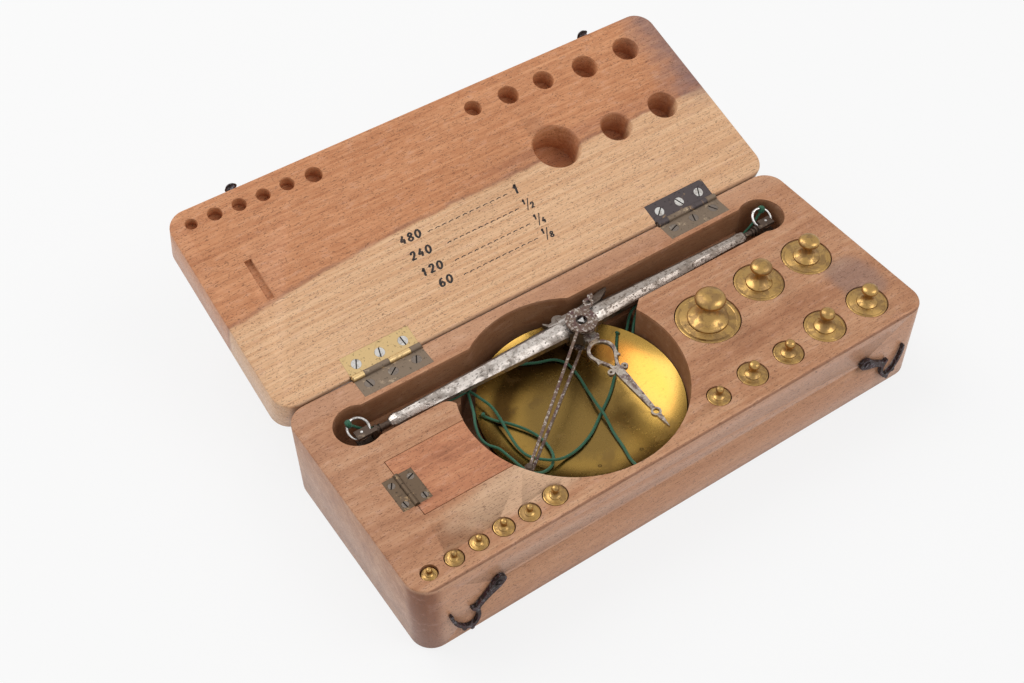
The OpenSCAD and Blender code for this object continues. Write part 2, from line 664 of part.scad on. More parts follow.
module pointer() {
    t = 1.2;
    color(rust_c) translate([ful_x, ful_y, beam_z - t / 2]) rotate([0, 0, -1.6]) {
        translate([0, 0, -1.2]) linear_extrude(t + 2.4) {
            translate([-2.6, -6]) square([5.2, 1]);
            translate([-3.1, -7.2]) square([6.2, 1.2]);
            translate([-2.4, -8.2]) square([4.8, 1]);
        }
        linear_extrude(t) {
            difference() {
                union() {
                    translate([0, -13.2]) circle(5.4);
                    polygon([[-5.2, -14.6], [-4.5, -16.6], [-4.9, -18.1], [-3.4, -18], [-2.6, -19.3], [-1.9, -21],
                        [-1.6, -23], [1.6, -23], [1.9, -21], [2.6, -19.3], [3.4, -18], [4.9, -18.1],
                        [4.5, -16.6], [5.2, -14.6]]);
                }
                translate([0, -13.2]) circle(4.15);
                polygon([[-4, -14.3], [-3.2, -16.4], [-2.1, -18.2], [-1.2, -19.9], [-0.4, -21.7], [0.4, -21.7],
                    [1.2, -19.9], [2.1, -18.2], [3.2, -16.4], [4, -14.3]]);
            }
            difference() {
                union() {
                    translate([-2.9, -23.3]) circle(1.35);
                    translate([2.9, -23.3]) circle(1.35);
                    polygon([[-2.9, -22.5], [2.9, -22.5], [2.9, -23.9], [-2.9, -23.9]]);
                }
                translate([-3, -23.3]) circle(0.5);
                translate([3, -23.3]) circle(0.5);
            }
            polygon([[-1, -22], [1, -22], [1.75, -24.5], [1.7, -28], [1.45, -33], [1.1, -39], [0.8, -45],
                [-0.8, -45], [-1.1, -39], [-1.45, -33], [-1.7, -28], [-1.75, -24.5]]);
            difference() {
                translate([0, -46.4]) circle(1.9);
                translate([0, -46.4]) circle(1.15);
            }
            polygon([[-0.9, -48], [0.9, -48], [0.8, -49.6], [0, -54.4], [-0.8, -49.6]]);
        }
    }
}

module cheek(z, eye_z, root, tip) {
    translate([ful_x, ful_y, 0]) rotate([0, 0, fork_angle]) difference() {
        union() {
            translate([0, 0, z]) linear_extrude(cheek_t) {
                circle(cheek_r);
                polygon([[-5, -1.6], [-5, 1.6], [-7.4, 1], [-7.4, -1]]);
                translate([-9.2, 0]) circle(2);
                polygon([[-10.6, -0.8], [-10.6, 0.8], [-12.6, 1.2], [-14.2, 0], [-12.6, -1.2]]);
            }
            hull() {
                translate([5, root - rod_w / 2, z + 0.05]) cube([0.2, rod_w, rod_t]);
                translate([fork_l - 1, tip - rod_w / 2, eye_z + 0.02]) cube([0.2, rod_w, rod_t - 0.04]);
            }
            translate([fork_l, 0, eye_z]) cylinder(h = eye_t, r = eye_r);
        }
        translate([0, 0, z - 1]) cylinder(h = 3, r = cheek_hole_r);
        translate([-9.2, 0, z - 1]) cylinder(h = 3, r = 0.95);
        translate([fork_l, 0, eye_z - 1]) cylinder(h = 3, r = rivet_r + 0.03);
    }
}

module fork_upper_cheek() { color(rust_c) cheek(cheek_top - cheek_t, eye_top - eye_t, 0, 0); }
module fork_lower_cheek() { color(rust_c) cheek(cheek_bottom, eye_bottom, 1.7, 0.9); }

module fork_head() {
    color(iron_c) translate([ful_x, ful_y, 0]) rotate([0, 0, fork_angle]) translate([fork_l, 0, 0]) {
        translate([0, 0, eye_bottom - 0.5]) cylinder(h = eye_top - eye_bottom + 1, r = rivet_r);
        translate([0, 0, eye_top + 0.03]) cylinder(h = 0.6, r1 = 1.5, r2 = 0.9);
        translate([0, 0, eye_bottom + eye_t + 0.03]) cylinder(h = eye_top - eye_bottom - 2 * eye_t - 0.06, r = 1.5);
        translate([0, 0, eye_bottom - 0.63]) cylinder(h = 0.6, r1 = 0.9, r2 = 1.5);
    }
}

module pan(rim, holes) {
    steps = [0, 8, 14, 19, 23, 27, 30, 32.5, 34.5, 36.2, pan_r];
    inner = [for (r = steps) [r, pan_in(r)]];
    outer = [for (i = [len(steps) - 1:-1:0]) [steps[i], pan_in(steps[i]) - pan_t]];
    translate([pan_x, pan_y, rim]) difference() {
        rotate_extrude($fn = 96) polygon(concat(inner, outer));
        for (a = holes) {
            translate([hole_radius * cos(a), hole_radius * sin(a), -6]) cylinder(h = 8, r = pan_hole_r);
        }
    }
}

module upper_pan() { color(brass_c) pan(pan_rim_upper, upper_holes); }
module lower_pan() { color(brass_c) pan(pan_rim_lower, lower_holes); }

// Silk cord: eight-sided tube through the points of a route
function tangent(p, i) = unit(p[min(i + 1, len(p) - 1)] - p[max(i - 1, 0)]);
function side_of(t) = unit(cross([0, 0, 1], t));
function cord_ring(p, i) =
    let (t = tangent(p, i), s = side_of(t), u = cross(t, s))
    [for (j = [0:7]) p[i] + cord_r * (cos(-45 * j) * s + sin(-45 * j) * u)];

module cord(p) {
    eight_sided([for (i = [0:len(p) - 1]) cord_ring(p, i)]);
}

module cord_upper_front() { color(silk_c) cord(route_upper_front); }
module cord_upper_back() { color(silk_c) cord(route_upper_back); }
module cord_upper_left() { color(silk_c) cord(route_upper_left); }
module cord_lower_right() { color(silk_c) cord(route_lower_right); }
module cord_lower_left() { color(silk_c) cord(route_lower_left); }
module cord_lead_left() { color(silk_c) cord(route_lead_left); }
module cord_lead_right() { color(silk_c) cord(route_lead_right); }

module cord_knots() {
    color(silk_c) {
        translate(knot_left_at) sphere(knot_r, $fn = 24);
        translate(knot_right_at) sphere(knot_r, $fn = 24);
    }
}

module ring_knots() {
    color(silk_c) {
        translate(tie_left_at) sphere(tie_r, $fn = 24);
        translate(tie_right_at) sphere(tie_r, $fn = 24);
    }
}

// Weights: turned body, foot disc of radius foot, waisted neck, and a cap of radius knob / 2 that
// reaches lo below its widest part and up above it, both in cap radii

module knob_weight(p, d, h, sink, knob, foot, lo, up) {
    r = d / 2;
    k = knob / 2;
    f = foot * r;
    c = 0.03 * d;
    zc = h + 0.43 * d;
    translate([p[0], p[1], top - sink - h]) rotate_extrude() polygon([
        [0, 0], [r - c, 0], [r, c], [r, h - 0.15], [r - 0.15, h], [f, h], [f, h + 0.028 * d],
        [0.95 * f, h + 0.045 * d], [0.74 * f, h + 0.07 * d], [0.55 * f, h + 0.11 * d],
        [0.41 * f, h + 0.165 * d], [0.19 * r, h + 0.24 * d], [0.18 * r, zc - lo * k],
        [0.6 * k, zc - 0.97 * lo * k], [0.86 * k, zc - 0.8 * lo * k], [0.97 * k, zc - 0.42 * lo * k],
        [k, zc], [0.965 * k, zc + 0.32 * up * k], [0.85 * k, zc + 0.6 * up * k],
        [0.64 * k, zc + 0.83 * up * k], [0.34 * k, zc + 0.96 * up * k], [0, zc + up * k]
    ]);
}

module weight_100g() { color(brass_c) knob_weight(pos_100, w100_d, h100, 0.2, 0.475 * w100_d, 0.64, 0.3, 0.45); }
module weight_50g_a() { color(brass_c) knob_weight(pos_50a, w50_d, h50, 0.2, 0.44 * w50_d, 0.54, 0.3, 0.5); }
module weight_50g_b() { color(brass_c) knob_weight(pos_50b, w50_d, h50, 0.2, 0.43 * w50_d, 0.54, 0.3, 0.42); }
module weight_20g_a() { color(brass_c) knob_weight(pos_20a, w20_d, h20, 0.2, 0.41 * w20_d, 0.52, 0.35, 0.5); }
module weight_20g_b() { color(brass_c) knob_weight(pos_20b, w20_d, h20, 0.2, 0.37 * w20_d, 0.54, 0.5, 0.7); }
module weight_10g_a() { color(brass_c) knob_weight(pos_10a, w10_d, h10, 0.2, 0.35 * w10_d, 0.54, 0.6, 0.8); }
module weight_10g_b() { color(brass_c) knob_weight(pos_10b, w10_d, h10, 0.2, 0.37 * w10_d, 0.54, 0.5, 0.7); }
module weight_5g_a() { color(brass_c) knob_weight(pos_5a, w5_d, h5, 0.2, 0.34 * w5_d, 0.52, 0.75, 0.9); }
module weight_5g_b() { color(brass_c) knob_weight(pos_5b, w5_d, h5, 0.2, 0.32 * w5_d, 0.5, 0.75, 0.9); }
module weight_3g_a() { color(brass_c) knob_weight(pos_3a, w3_d, h3, 0.2, 0.33 * w3_d, 0.5, 0.75, 0.9); }
module weight_3g_b() { color(brass_c) knob_weight(pos_3b, w3_d, h3, 0.2, 0.33 * w3_d, 0.5, 0.8, 0.95); }
module weight_2g_a() { color(brass_c) knob_weight(pos_2a, w2_d, h2, 0.2, 0.34 * w2_d, 0.5, 0.75, 0.9); }
module weight_2g_b() { color(brass_c) knob_weight(pos_2b, w2_d, h2, 0.2, 0.34 * w2_d, 0.5, 0.8, 0.95); }
module weight_1g() { color(brass_c) knob_weight(pos_1, w1_d, h1, 1, 0.36 * w1_d, 0.5, 0.75, 0.9); }

case_base();
case_lid();
compartment_flap();
left_hinge_base_leaf();
right_hinge_base_leaf();
left_hinge_lid_leaf();
right_hinge_lid_leaf();
left_hinge_pin();
right_hinge_pin();
base_hinge_screws();
lid_hinge_screws();
flap_hinge_fixed_leaf();
flap_hinge_moving_leaf();
flap_hinge_pin();
flap_hinge_fixed_screws();
flap_hinge_moving_screws();
latch_hook_left();
latch_hook_right();
latch_pivot_screws();
catch_studs();
beam();
central_knife();
end_fitting_left();
end_fitting_right();
end_knives();
end_ring_left();
end_ring_right();
pointer();
fork_upper_cheek();
fork_lower_cheek();
fork_head();
upper_pan();
lower_pan();
cord_upper_front();
cord_upper_back();
cord_upper_left();
cord_lower_right();
cord_lower_left();
cord_lead_left();
cord_lead_right();
cord_knots();
ring_knots();
weight_100g();
weight_50g_a();
weight_50g_b();
weight_20g_a();
weight_20g_b();
weight_10g_a();
weight_10g_b();
weight_5g_a();
weight_5g_b();
weight_3g_a();
weight_3g_b();
weight_2g_a();
weight_2g_b();
weight_1g();
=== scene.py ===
"""Dresses the boxed hand balance for a studio picture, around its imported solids."""

import logging
import math
from dataclasses import dataclass, field
from enum import Enum
from typing import Callable, Sequence, Union

import bmesh
import bpy
from mathutils import Matrix, Vector, noise


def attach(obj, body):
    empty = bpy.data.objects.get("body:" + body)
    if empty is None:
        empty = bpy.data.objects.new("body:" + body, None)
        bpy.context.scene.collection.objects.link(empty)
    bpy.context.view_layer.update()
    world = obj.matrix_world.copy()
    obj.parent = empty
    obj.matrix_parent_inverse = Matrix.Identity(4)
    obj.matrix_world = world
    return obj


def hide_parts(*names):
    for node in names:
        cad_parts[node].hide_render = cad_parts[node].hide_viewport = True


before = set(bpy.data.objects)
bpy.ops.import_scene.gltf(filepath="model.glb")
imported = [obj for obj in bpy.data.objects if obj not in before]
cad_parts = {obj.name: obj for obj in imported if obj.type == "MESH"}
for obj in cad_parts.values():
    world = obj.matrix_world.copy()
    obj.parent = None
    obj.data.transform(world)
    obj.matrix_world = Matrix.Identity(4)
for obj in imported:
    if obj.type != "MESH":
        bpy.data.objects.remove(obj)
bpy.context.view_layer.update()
LOG = logging.getLogger("hand_balance")

MM = 0.001
CASE_L, CASE_W, BASE_H, LID_T = 220.0, 89.0, 35.5, 17.5
LID_GAP, LID_OPEN = 0.3, 162.6
AXIS_Y, AXIS_Z = CASE_W / 2 + 0.15, BASE_H + LID_GAP / 2
LID_TILT = math.radians(180.0 - LID_OPEN)

Point = tuple[float, float, float]
Value = Union["Wire", float, tuple]


def closed_to_rest() -> Matrix:
    """Return the turn, in millimetres, from the closed lid's place to the opened one."""
    hinge = Matrix.Translation((0.0, AXIS_Y, AXIS_Z))
    return hinge @ Matrix.Rotation(-math.radians(LID_OPEN), 4, "X") @ hinge.inverted()


# Shading


class Wire:
    """An output of a node, usable in arithmetic on values."""

    def __init__(self, graph: "Graph", socket: bpy.types.NodeSocket) -> None:
        """Keep the graph and its socket."""
        self.graph = graph
        self.socket = socket

    def __add__(self, other: Value) -> "Wire":
        """Return the sum."""
        return self.graph.maths("ADD", self, other)

    def __radd__(self, other: Value) -> "Wire":
        """Return the sum, the value standing first."""
        return self.graph.maths("ADD", other, self)

    def __sub__(self, other: Value) -> "Wire":
        """Return the difference."""
        return self.graph.maths("SUBTRACT", self, other)

    def __rsub__(self, other: Value) -> "Wire":
        """Return the difference, the value standing first."""
        return self.graph.maths("SUBTRACT", other, self)

    def __mul__(self, other: Value) -> "Wire":
        """Return the product."""
        return self.graph.maths("MULTIPLY", self, other)

    def __rmul__(self, other: Value) -> "Wire":
        """Return the product, the value standing first."""
        return self.graph.maths("MULTIPLY", other, self)

    def __truediv__(self, other: Value) -> "Wire":
        """Return the quotient."""
        return self.graph.maths("DIVIDE", self, other)

    def __pow__(self, other: Value) -> "Wire":
        """Return the power."""
        return self.graph.maths("POWER", self, other)

    def __abs__(self) -> "Wire":
        """Return the size without its sign."""
        return self.graph.maths("ABSOLUTE", self)

    def least(self, other: Value) -> "Wire":
        """Return the smaller of two values."""
        return self.graph.maths("MINIMUM", self, other)

    def most(self, other: Value) -> "Wire":
        """Return the larger of two values."""
        return self.graph.maths("MAXIMUM", self, other)

    def rise(self, low: float, high: float) -> "Wire":
        """Return a smooth step.

        Args:
            low: the value at which the step leaves 0, or 1 where low is above high.
            high: the value at which it reaches 1, or 0.

        Returns:
            A wire from 0 to 1.
        """
        flip = low > high
        start, end = (high, low) if flip else (low, high)
        step = self.graph.node(
            "ShaderNodeMapRange",
            {"interpolation_type": "SMOOTHSTEP"},
            {"Value": self, "From Min": start, "From Max": end},
        )
        return 1.0 - step if flip else step


class Graph:
    """The node tree of one material."""

    def __init__(self, name: str) -> None:
        """Start an empty tree.

        Args:
            name: the material's name.
        """
        self.material = bpy.data.materials.new(name)
        self.material.use_nodes = True
        self.tree = self.material.node_tree
        self.tree.nodes.clear()

    def feed(self, socket: bpy.types.NodeSocket, value: Value) -> None:
        """Link a wire to a socket, or set its constant.

        Args:
            socket: the input to feed.
            value: a wire, a number, or a tuple for a colour or a vector.
        """
        if isinstance(value, Wire):
            self.tree.links.new(value.socket, socket)
        elif isinstance(value, tuple) and socket.type == "RGBA" and len(value) == 3:
            socket.default_value = (*value, 1.0)
        else:
            socket.default_value = value

    def node(self, kind: str, settings: dict, sockets: dict, output: Union[str, int] = 0) -> Wire:
        """Add a node.

        Args:
            kind: its type.
            settings: its properties, and a ramp's stops.
            sockets: the values or links of its inputs, by name or number.
            output: the output to return.

        Returns:
            That output.
        """
        made = self.tree.nodes.new(kind)
        for key, value in settings.items():
            if key == "stops":
                elements = made.color_ramp.elements
                while len(elements) < len(value):
                    elements.new(0.5)
                for element, (place, colour) in zip(elements, value):
                    element.position = place
                    element.color = (*colour, 1.0)
            else:
                setattr(made, key, value)
        for key, value in sockets.items():
            self.feed(made.inputs[key], value)
        return Wire(self, made.outputs[output])

    def maths(self, operation: str, *values: Value) -> Wire:
        """Return a Math node's result on the values."""
        return self.node("ShaderNodeMath", {"operation": operation}, dict(enumerate(values)))

    def blend(self, factor: Value, first: Value, second: Value, mode: str = "MIX") -> Wire:
        """Mix two colours.

        Args:
            factor: the share of the second.
            first: the colour underneath.
            second: the colour on top.
            mode: the blend mode.

        Returns:
            The mixed colour.
        """
        return self.node(
            "ShaderNodeMix",
            {"data_type": "RGBA", "blend_type": mode, "clamp_result": False},
            {0: factor, 6: first, 7: second},
            2,
        )

    def place(self, scale: Point, turn: Point = (0.0, 0.0, 0.0), shift: Point = (0.0, 0.0, 0.0)) -> Wire:
        """Return the object's coordinates in millimetres, shifted, turned, then stretched.

        Args:
            scale: cycles per millimetre along each axis after the turn.
            turn: angles in radians.
            shift: millimetres, added first.

        Returns:
            The coordinates.
        """
        raw = self.node("ShaderNodeTexCoord", {}, {}, "Object")
        metric = self.node(
            "ShaderNodeMapping", {}, {"Vector": raw, "Location": shift, "Scale": (1.0 / MM,) * 3}
        )
        turned = metric
        if any(turn):
            turned = self.node("ShaderNodeMapping", {}, {"Vector": metric, "Rotation": turn})
        return self.node("ShaderNodeMapping", {}, {"Vector": turned, "Scale": scale})

    def cloud(self, coords: Wire, detail: float = 3.0, rough: float = 0.55, warp: float = 0.0) -> Wire:
        """Return a noise of one cycle per unit.

        Args:
            coords: where it is read.
            detail: its octaves.
            rough: their strength.
            warp: its distortion.

        Returns:
            A value round 0.5.
        """
        return self.node(
            "ShaderNodeTexNoise",
            {},
            {"Vector": coords, "Scale": 1.0, "Detail": detail, "Roughness": rough, "Distortion": warp},
        )

    def axes(self, coords: Wire) -> tuple[Wire, Wire, Wire]:
        """Split coordinates into x, y and z."""
        split = self.node("ShaderNodeSeparateXYZ", {}, {"Vector": coords})
        outputs = split.socket.node.outputs
        return tuple(Wire(self, outputs[i]) for i in range(3))

    def relief(self, height: Value, depth: float, strength: float = 1.0) -> Wire:
        """Return a normal bent by a height.

        Args:
            height: a value from 0 to 1.
            depth: millimetres between 0 and 1.
            strength: the effect's share.

        Returns:
            The normal.
        """
        return self.node(
            "ShaderNodeBump", {}, {"Height": height, "Distance": depth * MM, "Strength": strength}
        )

    def finish(self, **sockets: Value) -> bpy.types.Material:
        """Close the tree with a Principled shader.

        Args:
            sockets: its inputs, with underscores for spaces.

        Returns:
            The material.
        """
        shader = self.node(
            "ShaderNodeBsdfPrincipled", {}, {key.replace("_", " "): value for key, value in sockets.items()}
        )
        return self.close(shader)

    def close(self, shader: Wire) -> bpy.types.Material:
        """Link a shader to a new output node, and return the material."""
        out = self.tree.nodes.new("ShaderNodeOutputMaterial")
        self.tree.links.new(shader.socket, out.inputs["Surface"])
        return self.material


class Timber(Enum):
    """The wooden parts, which differ in colour and stains."""

    BASE = "base"
    LID = "lid"
    FLAP = "flap"


@dataclass(frozen=True)
class WoodFinish:
    """Oiled fruitwood with a straight grain along X, dark pore flecks and worn patches."""

    part: Timber
    pale: Point = (0.56, 0.32, 0.185)
    middle: Point = (0.43, 0.208, 0.108)
    dark: Point = (0.31, 0.130, 0.062)
    pore: Point = (0.085, 0.035, 0.018)

    def material(self) -> bpy.types.Material:
        """Build the wood.

        Returns:
            The material.
        """
        g = Graph(f"wood_{self.part.value}")
        turn = (-LID_TILT, 0.0, 0.0) if self.part is Timber.LID else (0.0, 0.0, 0.0)
        shift = (0.0, -AXIS_Y, -AXIS_Z) if self.part is Timber.LID else (0.0, 0.0, 0.0)

        def at(scale: Point) -> Wire:
            """Return this part's coordinates at a scale."""
            return g.place(scale, turn, shift)

        x, y, z = g.axes(at((1.0, 1.0, 1.0)))
        figure = g.cloud(at((0.010, 0.10, 0.10)), 4.0, 0.6, 0.8)
        streak = g.cloud(at((0.016, 0.8, 0.8)), 4.0, 0.65)
        fibre = g.cloud(at((0.12, 3.6, 3.6)), 2.0, 0.6)
        flecks = g.cloud(at((0.62, 3.4, 3.4)), 1.0, 0.5).rise(0.64, 0.71)
        ticks = g.cloud(at((1.5, 2.6, 2.6)), 0.0, 0.5).rise(0.70, 0.76)
        mottle = g.cloud(at((0.06, 0.09, 0.09)), 5.0, 0.65)
        cloudy = g.cloud(at((0.16, 0.42, 0.42)), 4.0, 0.6)
        tone = figure * 0.42 + streak * 0.22 + mottle * 0.18 + cloudy * 0.18
        colour = g.node(
            "ShaderNodeValToRGB",
            {"stops": [(0.38, self.dark), (0.50, self.middle), (0.64, self.pale)]},
            {"Fac": tone},
        )
        if self.part is Timber.LID:
            colour = self._lid_zones(g, colour, x, y, mottle, streak, cloudy)
        elif self.part is Timber.BASE:
            colour = self._base_zones(g, colour, x, y, z, mottle, cloudy)
        colour = g.blend(cloudy.rise(0.54, 0.72) * 0.22, colour, (0.56, 0.33, 0.26))
        colour = g.blend(fibre.rise(0.58, 0.38) * 0.20, colour, (0.28, 0.12, 0.055))
        colour = g.blend((flecks * 0.62).most(ticks * 0.55), colour, self.pore)
        facing = g.node("ShaderNodeTexCoord", {}, {}, "Normal")
        up = abs(g.axes(facing)[2])
        side = up.rise(0.8, 0.35)
        rough = 0.50 + 0.12 * fibre + 0.10 * flecks - 0.12 * side
        grain = fibre * 0.4 + streak * 0.2 - flecks * 0.9 - ticks * 0.6
        return g.finish(
            Base_Color=colour,
            Roughness=rough,
            Coat_Weight=side * 0.30,
            Coat_Roughness=0.22,
            Specular_IOR_Level=0.30,
            Normal=g.relief(grain, 0.06, 0.6),
        )

    def _lid_zones(
        self, g: Graph, colour: Wire, x: Wire, y: Wire, mottle: Wire, streak: Wire, cloudy: Wire
    ) -> Wire:
        """Paint the lid's orange far half, its paler near half, the streak between them and a stain.

        Args:
            g: the graph.
            colour: the wood so far.
            x: along the grain.
            y: from the hinge outwards.
            mottle: soft patches.
            streak: bands along the grain.
            cloudy: small patches.

        Returns:
            The colour.
        """
        left = x.least(0.0)
        edge = 45.5 - left * left * 0.00062 + (mottle - 0.5) * 5.0
        far = (y - edge).rise(-1.2, 1.2)
        near_tone = g.blend(streak.rise(0.38, 0.62), (0.69, 0.40, 0.215), (0.80, 0.52, 0.305))
        colour = g.blend((1.0 - far) * 0.80, colour, near_tone)
        bands = (streak * 0.6 + cloudy * 0.4).rise(0.36, 0.62)
        orange = g.blend(bands, (0.49, 0.185, 0.075), (0.66, 0.295, 0.135))
        colour = g.blend(far * 0.72, colour, orange)
        line = abs(y - edge - 0.4).rise(1.4, 0.2) * (0.35 + 0.65 * mottle.rise(0.4, 0.6))
        colour = g.blend(line * 0.62, colour, (0.24, 0.10, 0.06))
        low = abs(y - 50.0 - (mottle - 0.5) * 6.0).rise(5.0, 0.5) * x.rise(-20.0, 30.0)
        colour = g.blend(low * 0.30, colour, (0.30, 0.115, 0.07))
        stain = (x + (mottle - 0.5) * 22.0).rise(92.0, 109.0) * (y + (mottle - 0.5) * 16.0).rise(34.0, 50.0)
        colour = g.blend(stain * 0.62, colour, (0.12, 0.10, 0.125))
        hem = y.rise(1.6, 0.4)
        return g.blend(hem * 0.55, colour, (0.09, 0.035, 0.02))

    def _base_zones(
        self, g: Graph, colour: Wire, x: Wire, y: Wire, z: Wire, mottle: Wire, cloudy: Wire
    ) -> Wire:
        """Paint the base's worn pale patch, its stain, its dark edge line, its walls and its corners, with
        painted light on the front face and painted shade in the recess and on the front-left corner.

        Args:
            g: the graph.
            colour: the wood so far.
            x: left to right.
            y: front to back.
            z: up.
            mottle: soft patches.
            cloudy: small patches.

        Returns:
            The colour.
        """
        reach = ((x + 52.0) / 36.0) ** 2.0 + ((y + 27.0) / 9.5) ** 2.0
        worn = (reach + (mottle - 0.5) * 1.6).rise(1.35, 0.35)
        colour = g.blend(worn * 0.60, colour, (0.66, 0.46, 0.30))
        rub = abs((x - 97.0) / 16.0).rise(1.0, 0.2) * abs((y + 20.0) / 18.0).rise(1.0, 0.3)
        stain = (rub + (mottle - 0.5) * 0.8).rise(0.35, 0.95)
        colour = g.blend(stain * 0.5, colour, (0.20, 0.15, 0.14))
        back = y.rise(34.0, 38.0) * z.rise(34.0, 35.0)
        colour = g.blend(back * 0.25, colour, (0.55, 0.34, 0.22))
        # lighter, pinker front face: partly the wood's own tone, partly painted light
        front = (y + (mottle - 0.5) * 2.0).rise(-42.6, -44.2) * z.rise(1.0, 3.0)
        colour = g.blend(front * (0.35 + 0.4 * cloudy), colour, (0.64, 0.335, 0.20))
        line = (y + (cloudy - 0.5) * 0.8).rise(-43.4, -44.0) * z.rise(34.7, 35.2)
        colour = g.blend(line * 0.62, colour, (0.13, 0.05, 0.025))
        # painted shade on the recess walls below the top
        recess_shade = z.rise(34.9, 33.5) * abs(y).rise(43.2, 42.8) * abs(x).rise(108.8, 108.2)
        colour = g.blend(recess_shade * 0.5, colour, (0.17, 0.075, 0.032))
        # painted shade on the sides at the front-left corner
        corner = x.rise(-99.5, -105.0) * y.rise(-34.0, -39.5) * z.rise(34.9, 33.0)
        return g.blend(corner * 0.88, colour, (0.20, 0.055, 0.013))


class Wear(Enum):
    """How far a metal has gone from its bright state."""

    BRIGHT = 0.22
    HANDLED = 0.45
    DULL = 0.85


@dataclass(frozen=True)
class MetalFinish:
    """A metal with patches of tarnish, small pits and fine scratches."""

    name: str
    bright: Point
    tarnish: Point
    wear: Wear
    polish: float = 0.25
    pitting: float = 0.3
    pit_size: float = 1.6
    patch_size: float = 6.0
    depth: float = 0.03

    def zones(self, g: Graph, colour: Wire, aged: Wire) -> tuple[Wire, Value]:
        """Paint what only one kind of part shows.

        Args:
            g: the graph.
            colour: the metal so far.
            aged: how tarnished it is; not used.

        Returns:
            The colour, and an extra height from 0 to 1.
        """
        return colour, 0.0

    def material(self) -> bpy.types.Material:
        """Build the metal.

        Returns:
            The material.
        """
        g = Graph(self.name)
        patch = 1.0 / self.patch_size
        spot = 1.0 / self.pit_size
        clouds = g.cloud(g.place((patch, patch, patch)), 5.0, 0.65, 0.4)
        specks = g.cloud(g.place((spot, spot, spot), shift=(31.0, 7.0, 3.0)), 3.0, 0.6)
        scratches = g.cloud(g.place((0.5, 7.0, 7.0), turn=(0.3, 0.2, 0.7)), 2.0, 0.6)
        aged = clouds.rise(0.62 - 0.35 * self.wear.value, 0.78 - 0.42 * self.wear.value)
        aged = aged * (0.45 + 0.5 * self.wear.value)
        pits = specks.rise(0.58, 0.68) * self.pitting
        colour = g.blend(aged, self.bright, self.tarnish)
        colour = g.blend(pits, colour, tuple(0.3 * c for c in self.tarnish))
        colour, raised = self.zones(g, colour, aged)
        rough = self.polish + aged * 0.24 + pits * 0.35 + scratches * 0.10
        height = scratches * 0.35 + clouds * 0.3 - pits * 1.2 + raised
        return g.finish(
            Base_Color=colour,
            Metallic=1.0 - aged * 0.25 - pits * 0.3,
            Roughness=rough,
            Normal=g.relief(height, self.depth, 0.5),
        )


@dataclass(frozen=True)
class PanFinish(MetalFinish):
    """Spun brass with painted dark reflections in its bowl, a painted orange reflection band and stray punch
    marks.
    """

    x: float = -15.6
    y: float = -1.1
    marks: tuple[tuple[float, float], ...] = ((-52.0, -8.0), (-24.0, -24.3), (-8.0, -27.3))

    def zones(self, g: Graph, colour: Wire, aged: Wire) -> tuple[Wire, Value]:
        """Paint dark reflections on the bowl's middle and its front and back slopes and an orange reflection
        band, and set the marks.
        """
        px, py, pz = g.axes(g.place((1.0, 1.0, 1.0)))
        drift = g.cloud(g.place((0.05, 0.05, 0.05), shift=(9.0, 2.0, 0.0)), 3.0, 0.5)
        x, y = px - self.x, py - self.y
        reach = (x * x + y * y) ** 0.5 + (drift - 0.5) * 9.0
        # painted dark reflection over the bowl's flat middle
        middle = reach.rise(27.0, 15.0)
        colour = g.blend(middle * 0.72, colour, (0.17, 0.108, 0.036))
        # painted dark reflections on the slopes, darkest on the back one, then a painted orange reflection band
        # near the right rim
        painted_reflection_slope = reach.rise(20.0, 27.0) * reach.rise(35.0, 30.5)
        lean = (x * -0.35 + y * 0.94) / 36.0 + (drift - 0.5) * 0.5
        colour = g.blend(painted_reflection_slope * lean.rise(0.30, 0.62) * 0.88, colour, (0.05, 0.022, 0.006))
        colour = g.blend(painted_reflection_slope * lean.rise(-0.62, -0.86) * 0.5, colour, (0.16, 0.075, 0.02))
        band = painted_reflection_slope * (x * 0.9 + y * 0.2).rise(16.0, 27.0)
        colour = g.blend(band * 0.55, colour, (0.62, 0.22, 0.035))
        marked: Value = 0.0
        for mx, my in self.marks:
            gap = ((px - mx) ** 2.0 + (py - my) ** 2.0) ** 0.5
            ring = abs(gap - 0.55).rise(0.32, 0.12)
            colour = g.blend(ring * 0.75, colour, (0.05, 0.025, 0.01))
            marked = ring + marked
        return colour, 0.0 - marked


@dataclass(frozen=True)
class BeamFinish(MetalFinish):
    """Steel with its right arm darker than its left, painted shade on its scrolls, and a dark block."""

    def zones(self, g: Graph, colour: Wire, aged: Wire) -> tuple[Wire, Value]:
        """Darken the right arm and the middle block, and paint shade on the scrolls."""
        x, y, z = g.axes(g.place((1.0, 1.0, 1.0)))
        right = x.rise(8.0, 16.0)
        colour = g.blend(right * 0.42, colour, (0.22, 0.165, 0.125))
        # the scrolls sit behind and under the beam: their darkening is painted shade
        shaded_scroll = y.rise(28.0, 28.8)
        block = y.rise(22.4, 21.6)
        colour = g.blend(shaded_scroll.most(block) * 0.72, colour, (0.085, 0.055, 0.035))
        rust = g.cloud(g.place((0.55, 0.8, 0.8), shift=(5.0, 1.0, 2.0)), 4.0, 0.65).rise(0.54, 0.62)
        return g.blend(rust * (0.45 + 0.3 * right), colour, (0.11, 0.075, 0.055)), 0.0 - rust * 0.4


@dataclass(frozen=True)
class RustFinish(MetalFinish):
    """Steel gone brown, with purple rust and light rubbed spots."""

    worn: Point = (0.52, 0.47, 0.42)

    def zones(self, g: Graph, colour: Wire, aged: Wire) -> tuple[Wire, Value]:
        """Add the rust and the rubbed spots."""
        rust = g.cloud(g.place((0.5, 0.5, 0.5), shift=(4.0, 8.0, 1.0)), 4.0, 0.6).rise(0.50, 0.60)
        rubbed = g.cloud(g.place((0.9, 0.9, 0.9), shift=(1.0, 3.0, 7.0)), 3.0, 0.6).rise(0.53, 0.62)
        colour = g.blend(rust * 0.65, colour, (0.085, 0.035, 0.045))
        return g.blend(rubbed * 0.7, colour, self.worn), rubbed * 0.4 - rust * 0.4


